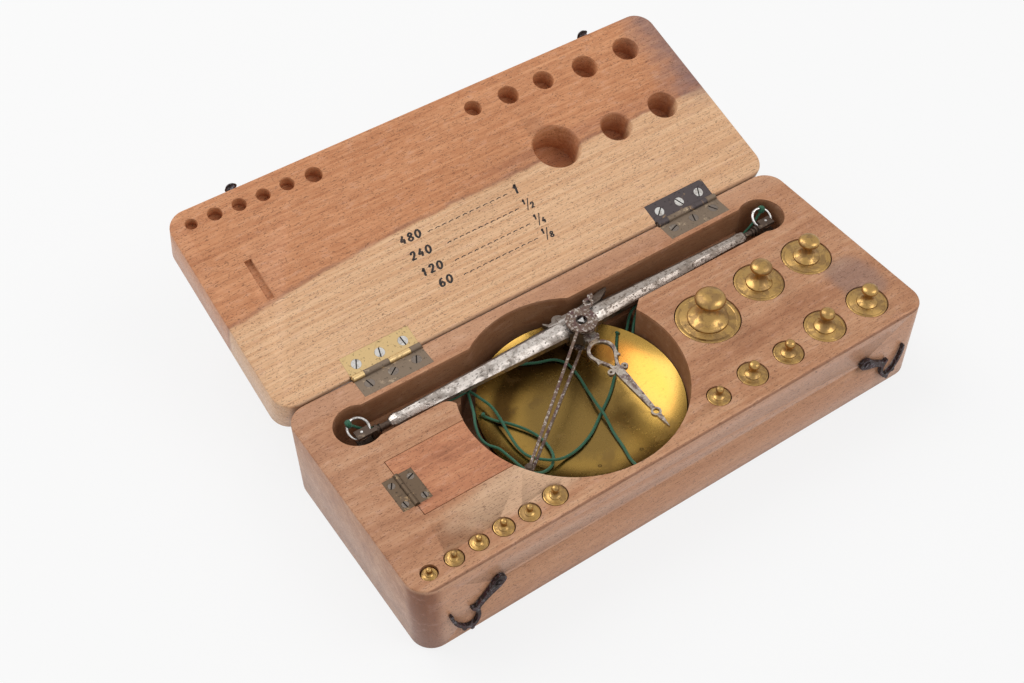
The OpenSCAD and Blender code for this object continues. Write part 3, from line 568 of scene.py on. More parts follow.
@dataclass(frozen=True)
class ScrewFinish(MetalFinish):
    """Screw heads with painted shade in their slots."""

    on_lid: bool = False
    face: float = 35.5

    def zones(self, g: Graph, colour: Wire, aged: Wire) -> tuple[Wire, Value]:
        """Paint shade on what lies below the heads' faces."""
        if self.on_lid:
            z = g.axes(g.place((1.0, 1.0, 1.0), (-LID_TILT, 0.0, 0.0), (0.0, -AXIS_Y, -AXIS_Z)))[2] + 0.15
        else:
            z = g.axes(g.place((1.0, 1.0, 1.0)))[2] - self.face
        # painted shade in the slots, near black below the heads' faces
        return g.blend(z.rise(-0.04, -0.16) * 0.93, colour, (0.012, 0.009, 0.007)), 0.0


@dataclass(frozen=True)
class SilkFinish:
    """Twisted green silk."""

    name: str
    deep: Point = (0.002, 0.040, 0.018)
    light: Point = (0.008, 0.135, 0.062)

    def material(self) -> bpy.types.Material:
        """Build the silk.

        Returns:
            The material.
        """
        g = Graph(self.name)
        fibres = g.cloud(g.place((5.0, 5.0, 5.0)), 2.0, 0.6)
        faded = g.cloud(g.place((0.08, 0.08, 0.08)), 2.0, 0.5)
        colour = g.blend(fibres.rise(0.3, 0.7), self.deep, self.light)
        colour = g.blend(faded.rise(0.5, 0.8) * 0.3, colour, (0.02, 0.13, 0.08))
        return g.finish(
            Base_Color=colour,
            Roughness=0.55 + fibres * 0.15,
            Sheen_Weight=0.25,
            Normal=g.relief(fibres, 0.03, 0.6),
        )


@dataclass(frozen=True)
class InkFinish:
    """Brown-black ink soaked into wood."""

    name: str

    def material(self) -> bpy.types.Material:
        """Build the ink.

        Returns:
            The material.
        """
        g = Graph(self.name)
        flow = g.cloud(g.place((0.5, 0.5, 0.5)), 3.0, 0.6)
        colour = g.blend(flow.rise(0.4, 0.75), (0.008, 0.006, 0.006), (0.05, 0.03, 0.022))
        return g.finish(Base_Color=colour, Roughness=0.7 + flow * 0.1)


@dataclass(frozen=True)
class BackdropFinish:
    """A pale floor that the camera and reflections see brighter, with the object's shadow kept."""

    name: str
    shade: float = 0.80
    glow: float = 0.96
    lit: float = 0.84

    def material(self) -> bpy.types.Material:
        """Build the floor's material.

        Returns:
            The material.
        """
        g = Graph(self.name)
        matte = g.node("ShaderNodeBsdfDiffuse", {}, {"Color": (self.shade,) * 3})
        light = g.node("ShaderNodeEmission", {}, {"Color": (self.glow,) * 3, "Strength": 1.0})
        seen = g.node("ShaderNodeLightPath", {}, {}, "Is Camera Ray")
        mirrored = g.node("ShaderNodeLightPath", {}, {}, "Is Glossy Ray")
        share = seen.most(mirrored) * self.lit
        return g.close(g.node("ShaderNodeMixShader", {}, {0: share, 1: matte, 2: light}))


@dataclass
class Palette:
    """The finishes of the whole object, each built once."""

    made: dict[str, bpy.types.Material] = field(default_factory=dict)

    def get(self, finish: Union[WoodFinish, MetalFinish, SilkFinish, InkFinish]) -> bpy.types.Material:
        """Return a finish's material, building it the first time.

        Args:
            finish: the finish.

        Returns:
            The material.
        """
        key = repr(finish)
        if key not in self.made:
            self.made[key] = finish.material()
        return self.made[key]


BRASS = MetalFinish(
    "brass_weights", (0.42, 0.255, 0.088), (0.205, 0.118, 0.048),
    Wear.HANDLED, 0.24, 0.35, 0.9, 4.0,
)
BRASS_PAN = PanFinish(
    "brass_pan", (0.40, 0.24, 0.055), (0.17, 0.095, 0.024),
    Wear.BRIGHT, 0.2, 0.12, 1.2, 14.0, 0.02,
)
BRASS_GOLD = MetalFinish(
    "brass_bright_leaf", (0.58, 0.41, 0.20), (0.31, 0.21, 0.10),
    Wear.BRIGHT, 0.34, 0.7, 1.1, 6.0,
)
BRASS_GREY = MetalFinish(
    "brass_dull_leaf", (0.38, 0.29, 0.20), (0.17, 0.125, 0.09),
    Wear.DULL, 0.38, 0.6, 1.1, 5.0, 0.05,
)
BRASS_FLAP = MetalFinish(
    "brass_flap_leaf", (0.30, 0.20, 0.11), (0.11, 0.075, 0.05),
    Wear.DULL, 0.38, 0.6, 1.1, 4.0, 0.05,
)
BRASS_BLUE = MetalFinish(
    "brass_blue_leaf", (0.27, 0.18, 0.11), (0.055, 0.05, 0.06),
    Wear.DULL, 0.34, 0.5, 1.3, 5.0, 0.05,
)
STEEL = BeamFinish(
    "steel_beam", (0.52, 0.47, 0.43), (0.19, 0.16, 0.135),
    Wear.HANDLED, 0.30, 0.85, 1.0, 5.0, 0.08,
)
STEEL_RING = MetalFinish(
    "steel_rings", (0.62, 0.60, 0.58), (0.24, 0.21, 0.19),
    Wear.HANDLED, 0.26, 0.5, 0.9, 2.5, 0.04,
)
STEEL_SCREW = ScrewFinish(
    "steel_lid_screws", (0.60, 0.58, 0.55), (0.28, 0.25, 0.22),
    Wear.HANDLED, 0.28, 0.4, 0.8, 2.0, on_lid=True,
)
STEEL_DULL = ScrewFinish(
    "steel_base_screws", (0.36, 0.31, 0.26), (0.15, 0.12, 0.10),
    Wear.DULL, 0.34, 0.5, 0.8, 2.0,
)
STEEL_BROWN = RustFinish(
    "steel_brown", (0.30, 0.24, 0.19), (0.12, 0.075, 0.055),
    Wear.DULL, 0.34, 0.6, 0.9, 3.0, 0.07,
)
STEEL_WORN = RustFinish(
    "steel_worn", (0.42, 0.36, 0.30), (0.16, 0.11, 0.085),
    Wear.HANDLED, 0.32, 0.6, 0.9, 3.0, 0.07,
)
STEEL_DARK = MetalFinish(
    "steel_dark_fittings", (0.19, 0.14, 0.10), (0.075, 0.05, 0.038),
    Wear.DULL, 0.36, 0.5, 0.9, 3.0, 0.06,
)
IRON = RustFinish(
    "iron_hooks", (0.12, 0.09, 0.085), (0.04, 0.028, 0.026),
    Wear.DULL, 0.34, 0.5, 1.0, 3.0, 0.10, worn=(0.20, 0.19, 0.21),
)
INK = InkFinish("lid_ink")
SILK = SilkFinish("green_silk")
PALETTE = Palette()


# Meshes


def merged_copy(node: str) -> bmesh.types.BMesh:
    """Return a CAD node's shape with its triangles joined and its flat faces whole.

    Args:
        node: the node's name.

    Returns:
        The mesh, in millimetres.
    """
    bm = bmesh.new()
    bm.from_mesh(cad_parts[node].data)
    bmesh.ops.scale(bm, vec=(1000.0,) * 3, verts=bm.verts)
    bmesh.ops.remove_doubles(bm, verts=bm.verts, dist=0.002)
    bmesh.ops.dissolve_limit(
        bm, angle_limit=math.radians(0.4), use_dissolve_boundaries=False, verts=bm.verts, edges=bm.edges
    )
    return bm


def ease(
    bm: bmesh.types.BMesh, chosen: Callable[[bmesh.types.BMEdge], bool], width: float, steps: int = 2
) -> int:
    """Round the sharp edges that a test picks.

    Args:
        bm: the mesh.
        chosen: the test, given an edge.
        width: the rounding, in millimetres.
        steps: its segments.

    Returns:
        The number of edges rounded.
    """
    sharp = math.radians(32.0)
    edges = [e for e in bm.edges if len(e.link_faces) == 2 and e.calc_face_angle() > sharp and chosen(e)]
    if edges:
        bmesh.ops.bevel(
            bm, geom=edges, offset=width, offset_type="OFFSET", affect="EDGES", segments=steps, profile=0.5,
            material=-1, clamp_overlap=True,
        )
    return len(edges)


def piece(
    name: str, bm: bmesh.types.BMesh, material: bpy.types.Material, smooth: float = 35.0
) -> bpy.types.Object:
    """Make an object of a mesh in millimetres, and free the mesh.

    Args:
        name: the object's name.
        bm: its shape.
        material: its finish.
        smooth: edges over this many degrees stay sharp.

    Returns:
        The object, at the origin.
    """
    bmesh.ops.scale(bm, vec=(MM,) * 3, verts=bm.verts)
    mesh = bpy.data.meshes.new(name)
    bm.to_mesh(mesh)
    bm.free()
    mesh.shade_smooth()
    mesh.set_sharp_from_angle(angle=math.radians(smooth))
    mesh.materials.append(material)
    made = bpy.data.objects.new(name, mesh)
    bpy.context.scene.collection.objects.link(made)
    return made


def dress(material: bpy.types.Material, *nodes: str) -> None:
    """Give carried-over CAD nodes a material.

    Args:
        material: the finish.
        nodes: the nodes' names.
    """
    for name in nodes:
        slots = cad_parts[name].data.materials
        slots.clear()
        slots.append(material)


def lathe(profile: Sequence[tuple[float, float]], centre: Point, steps: int = 96) -> bmesh.types.BMesh:
    """Spin a profile that starts and ends on its axis.

    Args:
        profile: radius and height of each point, in millimetres.
        centre: where the axis stands, and the height from which the profile counts.
        steps: segments round the axis.

    Returns:
        The closed mesh.
    """
    bm = bmesh.new()
    verts = [bm.verts.new((radius, 0.0, height)) for radius, height in profile]
    edges = [bm.edges.new(pair) for pair in zip(verts, verts[1:])]
    bmesh.ops.spin(
        bm, geom=verts + edges, cent=(0, 0, 0), axis=(0, 0, 1), dvec=(0, 0, 0), angle=math.tau, steps=steps,
        use_merge=True, use_duplicate=False,
    )
    bmesh.ops.remove_doubles(bm, verts=bm.verts, dist=0.0005)
    bmesh.ops.recalc_face_normals(bm, faces=bm.faces)
    bmesh.ops.translate(bm, vec=centre, verts=bm.verts)
    return bm


def spline(points: Sequence[Point], step: float) -> list[Vector]:
    """Return points on a smooth curve through a route.

    Args:
        points: the route.
        step: the distance between returned points.

    Returns:
        The points.
    """
    route = [Vector(p) for p in points]
    ends = [route[0] * 2 - route[1], *route, route[-1] * 2 - route[-2]]
    found = [route[0]]
    for before, start, end, after in zip(ends, ends[1:], ends[2:], ends[3:]):
        count = max(2, round((end - start).length / step))
        knots = [0.0]
        for a, b in ((before, start), (start, end), (end, after)):
            knots.append(knots[-1] + max((b - a).length, 1e-6) ** 0.5)
        for i in range(1, count + 1):
            t = knots[1] + (knots[2] - knots[1]) * i / count
            a1 = before.lerp(start, (t - knots[0]) / (knots[1] - knots[0]))
            a2 = start.lerp(end, (t - knots[1]) / (knots[2] - knots[1]))
            a3 = end.lerp(after, (t - knots[2]) / (knots[3] - knots[2]))
            b1 = a1.lerp(a2, (t - knots[0]) / (knots[2] - knots[0]))
            b2 = a2.lerp(a3, (t - knots[1]) / (knots[3] - knots[1]))
            found.append(b1.lerp(b2, (t - knots[1]) / (knots[2] - knots[1])))
    return found


# Camera, light and floor


@dataclass
class Studio:
    """The camera, the lamps, the world and the floor."""

    eye: Point = (-210.25, -254.98, 419.94)
    right: Point = (0.827495591, -0.561264766, -0.015261365)
    down: Point = (-0.430332568, -0.616529257, -0.659322043)
    ahead: Point = (0.360645154, 0.552153546, -0.751705750)
    lens: float = 50.0
    floor_size: float = 6.0
    daylight: float = 0.55
    sky_seen: float = 0.91

    def camera(self) -> None:
        """Stand the camera where the picture was taken."""
        data = bpy.data.cameras.new("camera")
        data.lens = self.lens
        data.sensor_width = 36.0
        data.clip_start, data.clip_end = 0.01, 50.0
        eye = bpy.data.objects.new("camera", data)
        turn = Matrix((self.right, [-c for c in self.down], [-c for c in self.ahead])).transposed()
        eye.matrix_world = Matrix.Translation(Vector(self.eye) * MM) @ turn.to_4x4()
        bpy.context.scene.collection.objects.link(eye)
        bpy.context.scene.camera = eye

    def lamp(self, name: str, place: Point, size: float, watts: float) -> None:
        """Hang a square lamp that faces the object.

        Args:
            name: its name.
            place: where it hangs, in metres.
            size: its side, in metres.
            watts: its power.
        """
        data = bpy.data.lights.new(name, "AREA")
        data.shape, data.size, data.energy = "SQUARE", size, watts
        made = bpy.data.objects.new(name, data)
        aim = Vector((0.0, 0.0, 0.03)) - Vector(place)
        made.matrix_world = Matrix.Translation(place) @ aim.to_track_quat("-Z", "Y").to_matrix().to_4x4()
        bpy.context.scene.collection.objects.link(made)

    def world(self) -> None:
        """Light the object evenly, with a brighter sky for the camera and reflections."""
        sky = bpy.data.worlds.new("sky")
        sky.use_nodes = True
        tree = sky.node_tree
        tree.nodes.clear()
        path = tree.nodes.new("ShaderNodeLightPath")
        either = tree.nodes.new("ShaderNodeMath")
        either.operation = "MAXIMUM"
        tree.links.new(path.outputs["Is Camera Ray"], either.inputs[0])
        tree.links.new(path.outputs["Is Glossy Ray"], either.inputs[1])
        plain = tree.nodes.new("ShaderNodeBackground")
        plain.inputs["Color"].default_value = (1.0, 1.0, 1.0, 1.0)
        plain.inputs["Strength"].default_value = self.daylight
        seen = tree.nodes.new("ShaderNodeBackground")
        seen.inputs["Color"].default_value = (*(self.sky_seen,) * 3, 1.0)
        mixed = tree.nodes.new("ShaderNodeMixShader")
        out = tree.nodes.new("ShaderNodeOutputWorld")
        tree.links.new(either.outputs[0], mixed.inputs[0])
        tree.links.new(plain.outputs[0], mixed.inputs[1])
        tree.links.new(seen.outputs[0], mixed.inputs[2])
        tree.links.new(mixed.outputs[0], out.inputs["Surface"])
        bpy.context.scene.world = sky

    def floor(self) -> None:
        """Lay the pale floor under the object."""
        bm = bmesh.new()
        bmesh.ops.create_grid(bm, x_segments=1, y_segments=1, size=self.floor_size * 500.0)
        made = piece("floor", bm, BackdropFinish("pale_floor").material())

    def build(self) -> None:
        """Set up the studio."""
        bpy.context.scene.view_settings.view_transform = "Standard"
        self.camera()
        self.world()
        self.floor()
        self.lamp("key", (-0.5, 1.1, 1.4), 1.4, 19.0)
        self.lamp("fill", (0.9, -0.9, 1.5), 1.1, 11.0)
        LOG.info("studio ready, view %s", bpy.context.scene.view_settings.view_transform)


# Silk cords


@dataclass
class SilkCord:
    """One stretch of twisted silk, from a pan or a knot to where it is tied."""

    name: str
    nodes: tuple[str, ...]
    route: Sequence[Point]
    stiffness: str = "limp"
    far_end: str = "object"
    radius: float = 0.57
    pitch: float = 3.4
    strands: int = 3
    sides: int = 15
    step: float = 0.34

    def build(self) -> bpy.types.Object:
        """Twist the cord along its route.

        Returns:
            The cord.
        """
        path = spline(self.route, self.step)
        bm = bmesh.new()
        side = Vector((0.0, 0.0, 1.0)).cross(path[1] - path[0]).normalized()
        rings = []
        run = 0.0
        for i, here in enumerate(path):
            if i:
                run += (here - path[i - 1]).length
            ahead = (path[min(i + 1, len(path) - 1)] - path[max(i - 1, 0)]).normalized()
            side = (side - ahead * side.dot(ahead)).normalized()
            over = ahead.cross(side)
            ring = []
            for j in range(self.sides):
                angle = math.tau * j / self.sides
                lobe = 0.5 + 0.5 * math.cos(self.strands * (angle - math.tau * run / self.pitch))
                size = self.radius * (0.82 + 0.18 * lobe ** 0.6)
                ring.append(bm.verts.new(here + (side * math.cos(angle) + over * math.sin(angle)) * size))
            rings.append(ring)
        for first, second in zip(rings, rings[1:]):
            for j in range(self.sides):
                k = (j + 1) % self.sides
                bm.faces.new((first[j], first[k], second[k], second[j]))
        bm.faces.new(rings[0][::-1])
        bm.faces.new(rings[-1])
        bmesh.ops.recalc_face_normals(bm, faces=bm.faces)
        made = piece(self.name, bm, PALETTE.get(SILK), 80.0)
        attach(made, "balance")
        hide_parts(*self.nodes)
        length = sum((b - a).length for a, b in zip(path, path[1:])) * MM
        tuple(c * MM for c in self.route[0])
        2 * 0.93 * self.radius * MM
        [tuple(p * MM) for p in path]
        LOG.info("%s: %.1f mm", self.name, length / MM)
        return made


@dataclass
class SilkWork:
    """All the cords and their knots."""

    left_knot: Point = (-46.5, 25.0, 24.6)
    right_knot: Point = (31.0, 24.0, 24.6)
    left_tie: Point = (-92.0, 30.8, 32.2)
    right_tie: Point = (94.8, 30.8, 32.4)
    upper_front: Sequence[Point] = (
        (-45.5, 25.4, 24.5), (-40.5, 26.5, 24.4), (-35, 28.3, 22.5), (-29, 29.2, 21.2), (-23, 28.4, 19.7),
        (-16, 26, 18.5), (-9.5, 23.7, 18), (-6.5, 20, 17.3), (-6, 14, 16.5), (-7.2, 5.8, 16),
        (-8.8, -2, 17.2),
        (-9.3, -7, 17.1), (-11, -15, 16.1), (-12.3, -22, 16.9), (-14.5, -29.5, 18.9), (-16, -36.3, 22.5),
    )
    upper_back: Sequence[Point] = (
        (-46.2, 23.8, 24.5), (-45, 19.5, 24.5), (-43, 16, 22.4), (-42.6, 11.3, 20.8), (-43.3, 5, 19.6),
        (-44, -3, 19), (-43.2, -7.7, 19), (-40.5, -12, 19.7), (-37, -14.6, 19.4), (-31.5, -14.5, 16.9),
        (-25, -13.5, 16.2), (-17.5, -10.5, 15.9), (-9.5, -5.2, 15.7), (-2, -0.3, 16), (4, 4.8, 16.8),
        (8.8, 10, 18.4), (12.2, 14.7, 20.4), (14.8, 17.8, 22.5),
    )
    upper_left: Sequence[Point] = (
        (-47.3, 24.2, 24.5), (-49, 19.5, 24.5), (-51, 14.6, 25.4), (-53.3, 10, 25), (-54.7, 5, 24.3),
        (-54.2, 1, 24.2), (-51.7, -2, 23.4), (-50.2, -7, 22.6), (-49.6, -12, 23), (-49, -15.8, 23.7),
        (-46.6, -17.8, 22.7), (-42.5, -17.4, 20.2), (-38, -15.2, 18.1), (-35, -11.5, 17.1), (-33.8, -7, 16.6),
        (-34, -2, 16.4), (-36, 3, 16.9), (-40, 8, 18.2), (-44.6, 11.2, 20.2), (-48, 14.2, 22.5),
    )
    lead_left: Sequence[Point] = (
        (-47.5, 24.9, 24.6), (-53.0, 25.1, 24.3), (-65.0, 28.1, 24.3), (-78.0, 28.5, 24.6),
        (-87.0, 29.3, 27.6),
        (-91.2, 30.4, 31.2),
    )
    lead_right: Sequence[Point] = (
        (32, 24, 24.6), (41, 24.4, 24.3), (60, 25.7, 24.3), (78, 27.8, 24.7), (89, 29.4, 27.9),
        (94, 30.4, 31.3),
    )
    lower_right: Sequence[Point] = (
        (17.8, 12.4, 20.3), (18.6, 13.2, 21.35), (20, 14.9, 22.5), (21.9, 17, 23.5), (25, 19.9, 24.2),
        (30.4, 23.45, 24.4),
    )
    lower_left: Sequence[Point] = (
        (-43.9, 21, 20.25), (-43.2, 20.75, 20.12), (-39.8, 20, 18.12), (-35.4, 19.1, 16.36),
        (-29, 17.9, 14.86),
        (-21.5, 16.9, 14.06), (-13.5, 16.2, 13.9), (-5.5, 15.7, 14.16), (2, 15.2, 15.04), (8, 14.8, 16.44),
        (12.3, 14.7, 18.1), (15.8, 15.2, 20.14), (18.2, 16.6, 22.15), (20.2, 18.5, 23.1), (24.2, 21.9, 24.4),
        (30.4, 24.6, 24.85),
    )

    def knot(self, bm: bmesh.types.BMesh, centre: Point, radius: float, lie: Point) -> None:
        """Wind three turns of cord round a point.

        Args:
            bm: the mesh to add to.
            centre: the knot's middle.
            radius: its reach.
            lie: the direction in which the cord runs through it.
        """
        through = Vector(lie).normalized()
        thread = 0.42 * radius
        for turn, slide, size in ((14.0, -0.5, 0.50), (-18.0, 0.0, 0.56), (9.0, 0.5, 0.50)):
            ring = bmesh.ops.create_circle(bm, segments=10, radius=thread)["verts"]
            bmesh.ops.rotate(bm, verts=ring, cent=(0, 0, 0), matrix=Matrix.Rotation(math.pi / 2, 3, "X"))
            bmesh.ops.translate(bm, verts=ring, vec=(size * radius, 0, 0))
            edges = list({e for v in ring for e in v.link_edges})
            spun = bmesh.ops.spin(
                bm, geom=ring + edges, cent=(0, 0, 0), axis=(0, 0, 1), dvec=(0, 0, 0), angle=math.tau, steps=20,
                use_merge=True, use_duplicate=False,
            )
            verts = set(ring)
            for vert in list(verts):
                stack = [vert]
                while stack:
                    for edge in stack.pop().link_edges:
                        for end in edge.verts:
                            if end not in verts:
                                verts.add(end)
                                stack.append(end)
            lean = Matrix.Rotation(math.radians(turn), 3, "X")
            place = through.to_track_quat("Z", "Y").to_matrix() @ lean
            shift = Vector(centre) + through * slide * thread
            for vert in verts:
                vert.co = place @ vert.co + shift

    def build(self) -> None:
        """Lay every cord, then wind the knots."""
        right = [*self.lower_right, *self.lead_right[1:]]
        for name, nodes, route in (
            ("silk_upper_front", ("cord_upper_front",), self.upper_front),
            ("silk_upper_back", ("cord_upper_back",), self.upper_back),
            ("silk_upper_left", ("cord_upper_left",), self.upper_left),
            ("silk_lower_left", ("cord_lower_left",), self.lower_left),
            ("silk_lead_left", ("cord_lead_left",), self.lead_left),
            ("silk_lower_right_and_lead", ("cord_lower_right", "cord_lead_right"), right),
        ):
            SilkCord(name, nodes, route).build()
        for name, node, knots in (
            (
                "silk_pan_knots",
                "cord_knots",
                ((self.left_knot, 1.15, (1, 0.2, 0)), (self.right_knot, 1.15, (1, 0.5, 0))),
            ),
            (
                "silk_ring_knots",
                "ring_knots",
                ((self.left_tie, 1.65, (1, -0.3, 0.5)), (self.right_tie, 1.65, (-1, -0.3, 0.5))),
            ),
            (
                "silk_hole_knots",
                None,
                (
                    ((-16.0, -36.2, 23.1), 0.85, (0.2, 1, -0.4)),
                    ((14.7, 17.7, 23.1), 0.85, (-1, -0.6, -0.5)),
                    ((-47.6, 14.0, 22.9), 0.85, (1, -0.6, -0.5)),
                    ((17.9, 12.6, 20.9), 0.75, (0.5, 0.6, 0.6)),
                ),
            ),
        ):
            bm = bmesh.new()
            for centre, radius, lie in knots:
                self.knot(bm, centre, radius, lie)
            bmesh.ops.remove_doubles(bm, verts=bm.verts, dist=0.0005)
            bmesh.ops.recalc_face_normals(bm, faces=bm.faces)
            made = piece(name, bm, PALETTE.get(SILK), 80.0)
            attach(made, "balance")
            if node:
                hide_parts(node)
        LOG.info("silk work ready")


# Wooden case


@dataclass
class WoodenCase:
    """The base block and the lid block, with their edges eased, and the compartment's flap."""

    outer_ease: float = 0.55

    def base(self) -> bpy.types.Object:
        """Ease the base block's edges.

        Returns:
            The base.
        """
        bm = merged_copy("case_base")
        for level in (0.0, BASE_H):
            ease(bm, lambda e: self._outline(e, level), self.outer_ease)
        made = piece("case_base_wood", bm, PALETTE.get(WoodFinish(Timber.BASE)))
        return self._stand_for(made, "base", "case_base")

    def lid(self) -> bpy.types.Object:
        """Ease the lid block's edges.

        Returns:
            The lid.
        """
        bm = merged_copy("case_lid")
        to_rest = closed_to_rest()
        bmesh.ops.transform(bm, matrix=to_rest.inverted(), verts=bm.verts)
        for level in (BASE_H + LID_GAP, BASE_H + LID_GAP + LID_T):
            ease(bm, lambda e: self._outline(e, level), self.outer_ease)
        bmesh.ops.transform(bm, matrix=to_rest, verts=bm.verts)
        made = piece("case_lid_wood", bm, PALETTE.get(WoodFinish(Timber.LID)))
        return self._stand_for(made, "lid", "case_lid")

    def _outline(self, edge: bmesh.types.BMEdge, level: float) -> bool:
        """Return whether an edge runs along the block's outline at a height."""
        half_l, half_w, corner = CASE_L / 2, CASE_W / 2, 8.0

        def on_rim(x: float, y: float) -> bool:
            """Return whether a point lies on the rounded outline."""
            dx, dy = max(abs(x) - (half_l - corner), 0.0), max(abs(y) - (half_w - corner), 0.0)
            reach = math.hypot(dx, dy) if dx and dy else max(dx, dy)
            return abs(reach - corner) < 0.02

        return all(on_rim(v.co.x, v.co.y) and abs(v.co.z - level) < 0.01 for v in edge.verts)

    def _stand_for(self, made: bpy.types.Object, body: str, node: str) -> bpy.types.Object:
        """Ride a piece on a body in place of a node.

        Args:
            made: the piece.
            body: the body.
            node: the node that it replaces.

        Returns:
            The piece.
        """
        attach(made, body)
        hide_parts(node)
        return made

    def build(self) -> None:
        """Make the case."""
        self.base()
        self.lid()
        dress(
            PALETTE.get(
                WoodFinish(Timber.FLAP, (0.60, 0.28, 0.14), (0.44, 0.175, 0.085), (0.25, 0.085, 0.04))
            ),
            "compartment_flap",
        )
        LOG.info("wooden case ready")


DIGITS: dict[str, tuple[tuple[tuple[float, float], ...], ...]] = {
    "0": (((0.32, 1.0), (0.08, 0.78), (0.05, 0.3), (0.28, 0.0), (0.52, 0.22), (0.56, 0.7), (0.32, 1.0)),),
    "1": (((0.08, 0.62), (0.30, 0.98)), ((0.30, 1.0), (0.28, 0.0))),
    "2": (
        ((0.05, 0.72), (0.16, 0.96), (0.42, 0.98), (0.50, 0.72), (0.34, 0.38), (0.02, 0.02)),
        ((0.02, 0.04), (0.60, 0.06)),
    ),
    "4": (((0.40, 1.0), (0.02, 0.34)), ((0.02, 0.34), (0.62, 0.32)), ((0.44, 0.62), (0.42, 0.0))),
    "6": (
        (
            (0.50, 0.92), (0.24, 0.88), (0.04, 0.42), (0.16, 0.04),
            (0.44, 0.04), (0.52, 0.34), (0.30, 0.52), (0.08, 0.34),
        ),
    ),
    "8": (
        ((0.32, 0.52), (0.10, 0.74), (0.32, 1.0), (0.54, 0.76), (0.32, 0.52)),
        ((0.32, 0.52), (0.04, 0.26), (0.30, 0.0), (0.58, 0.24), (0.32, 0.52)),
    ),
}


@dataclass
class LidNumbers:
    """Four rows of plain numbers, dashes and fractions, inked on the open lid."""

    rows: tuple[tuple[str, float, float, float, float, str], ...] = (
        ("480", -38.2, 38.7, -26.5, 10.4, "1"),
        ("240", -38.2, 31.1, -22.7, 10.6, "1/2"),
        ("120", -38.0, 23.4, -24.2, 10.8, "1/4"),
        ("60", -34.6, 16.7, -24.5, 10.0, "1/8"),
    )
    lift: float = 0.02
    size: float = 3.3
    share_size: float = 4.2
    pen: float = 0.95
    dash_pen: float = 0.5
    dashes: int = 12

    def stroke(self, bm: bmesh.types.BMesh, points: Sequence[tuple[float, float]], width: float) -> None:
        """Lay a ribbon of ink.

        Args:
            bm: the mesh to add to, in the lid's own plane.
            points: the pen's way: x, and the distance from the hinge.
            width: its greatest width, in millimetres.
        """
        path = spline([(px, py, 0.0) for px, py in points], 0.18)
        pairs = []
        for i, here in enumerate(path):
            ahead = (path[min(i + 1, len(path) - 1)] - path[max(i - 1, 0)]).normalized()
            share = 0.62 + 0.38 * abs(ahead.y)
            over = Vector((-ahead.y, ahead.x, 0.0)) * width * 0.5 * share
            pairs.append((bm.verts.new(here - over), bm.verts.new(here + over)))
        for (a, b), (c, d) in zip(pairs, pairs[1:]):
            bm.faces.new((a, c, d, b))

    def write(self, bm: bmesh.types.BMesh, text: str, x: float, y: float, size: float, width: float) -> None:
        """Write digits from left to right, leaning like handwriting.

        Args:
            bm: the mesh to add to.
            text: the digits, with at most one slash.
            x: where the first stands.
            y: the line they stand on.
            size: their height, in millimetres.
            width: the pen's width.
        """
        if "/" in text:
            over, under = text.split("/")
            self.write(bm, over, x, y + 0.52 * size, 0.55 * size, 0.75 * width)
            self.stroke(bm, ((x + 0.1 * size, y - 0.15 * size), (x + 0.75 * size, y + size)), 0.45 * width)
            self.write(bm, under, x + 0.55 * size, y - 0.1 * size, 0.55 * size, 0.75 * width)
            return
        for digit in text:
            for way in DIGITS[digit]:
                self.stroke(bm, [(x + (u + 0.22 * v) * size, y + v * size) for u, v in way], width)
            x += 0.98 * size

    def build(self) -> bpy.types.Object:
        """Write the rows.

        Returns:
            The ink.
        """
        bm = bmesh.new()
        for text, x, y, start, end, share in self.rows:
            self.write(bm, text, x, y, self.size, self.pen)
            for i in range(self.dashes):
                a = start + (end - start) * i / self.dashes
                b = a + (end - start) * 0.66 / self.dashes
                self.stroke(bm, ((a, y + 0.35), ((a + b) / 2, y + 0.62), (b, y + 0.5)), self.dash_pen)
            self.write(bm, share, end + 1.5, y - 1.2, self.share_size, self.pen)
        place = (
            Matrix.Translation((0.0, AXIS_Y, AXIS_Z)) @ Matrix.Rotation(LID_TILT, 4, "X")
            @ Matrix.Translation((0.0, 0.0, self.lift - LID_GAP / 2))
        )
        bmesh.ops.transform(bm, matrix=place, verts=bm.verts)
        made = piece("lid_numbers", bm, PALETTE.get(INK))
        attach(made, "lid")
        return made


@dataclass
class Hinges:
    """The lid's two butt hinges and the flap's small one."""

    def build(self) -> None:
        """Give each leaf, pin and screw its own age."""
        dress(PALETTE.get(BRASS_GOLD), "left_hinge_lid_leaf", "left_hinge_pin")
        dress(PALETTE.get(BRASS_GREY), "left_hinge_base_leaf", "right_hinge_base_leaf", "right_hinge_pin")
        dress(PALETTE.get(BRASS_BLUE), "right_hinge_lid_leaf")
        dress(PALETTE.get(BRASS_FLAP), "flap_hinge_fixed_leaf", "flap_hinge_moving_leaf", "flap_hinge_pin")
        dress(PALETTE.get(STEEL_SCREW), "lid_hinge_screws")
        dress(
            PALETTE.get(STEEL_DULL),
            "base_hinge_screws",
            "flap_hinge_fixed_screws",
            "flap_hinge_moving_screws",
        )
        LOG.info("hinges ready")


@dataclass
class Latch:
    """The two forged hooks, their pivot screws and the studs on the lid."""

    def build(self) -> None:
        """Dress the ironwork."""
        dress(PALETTE.get(IRON), "latch_hook_left", "latch_hook_right", "latch_pivot_screws", "catch_studs")
        LOG.info("latch ready")


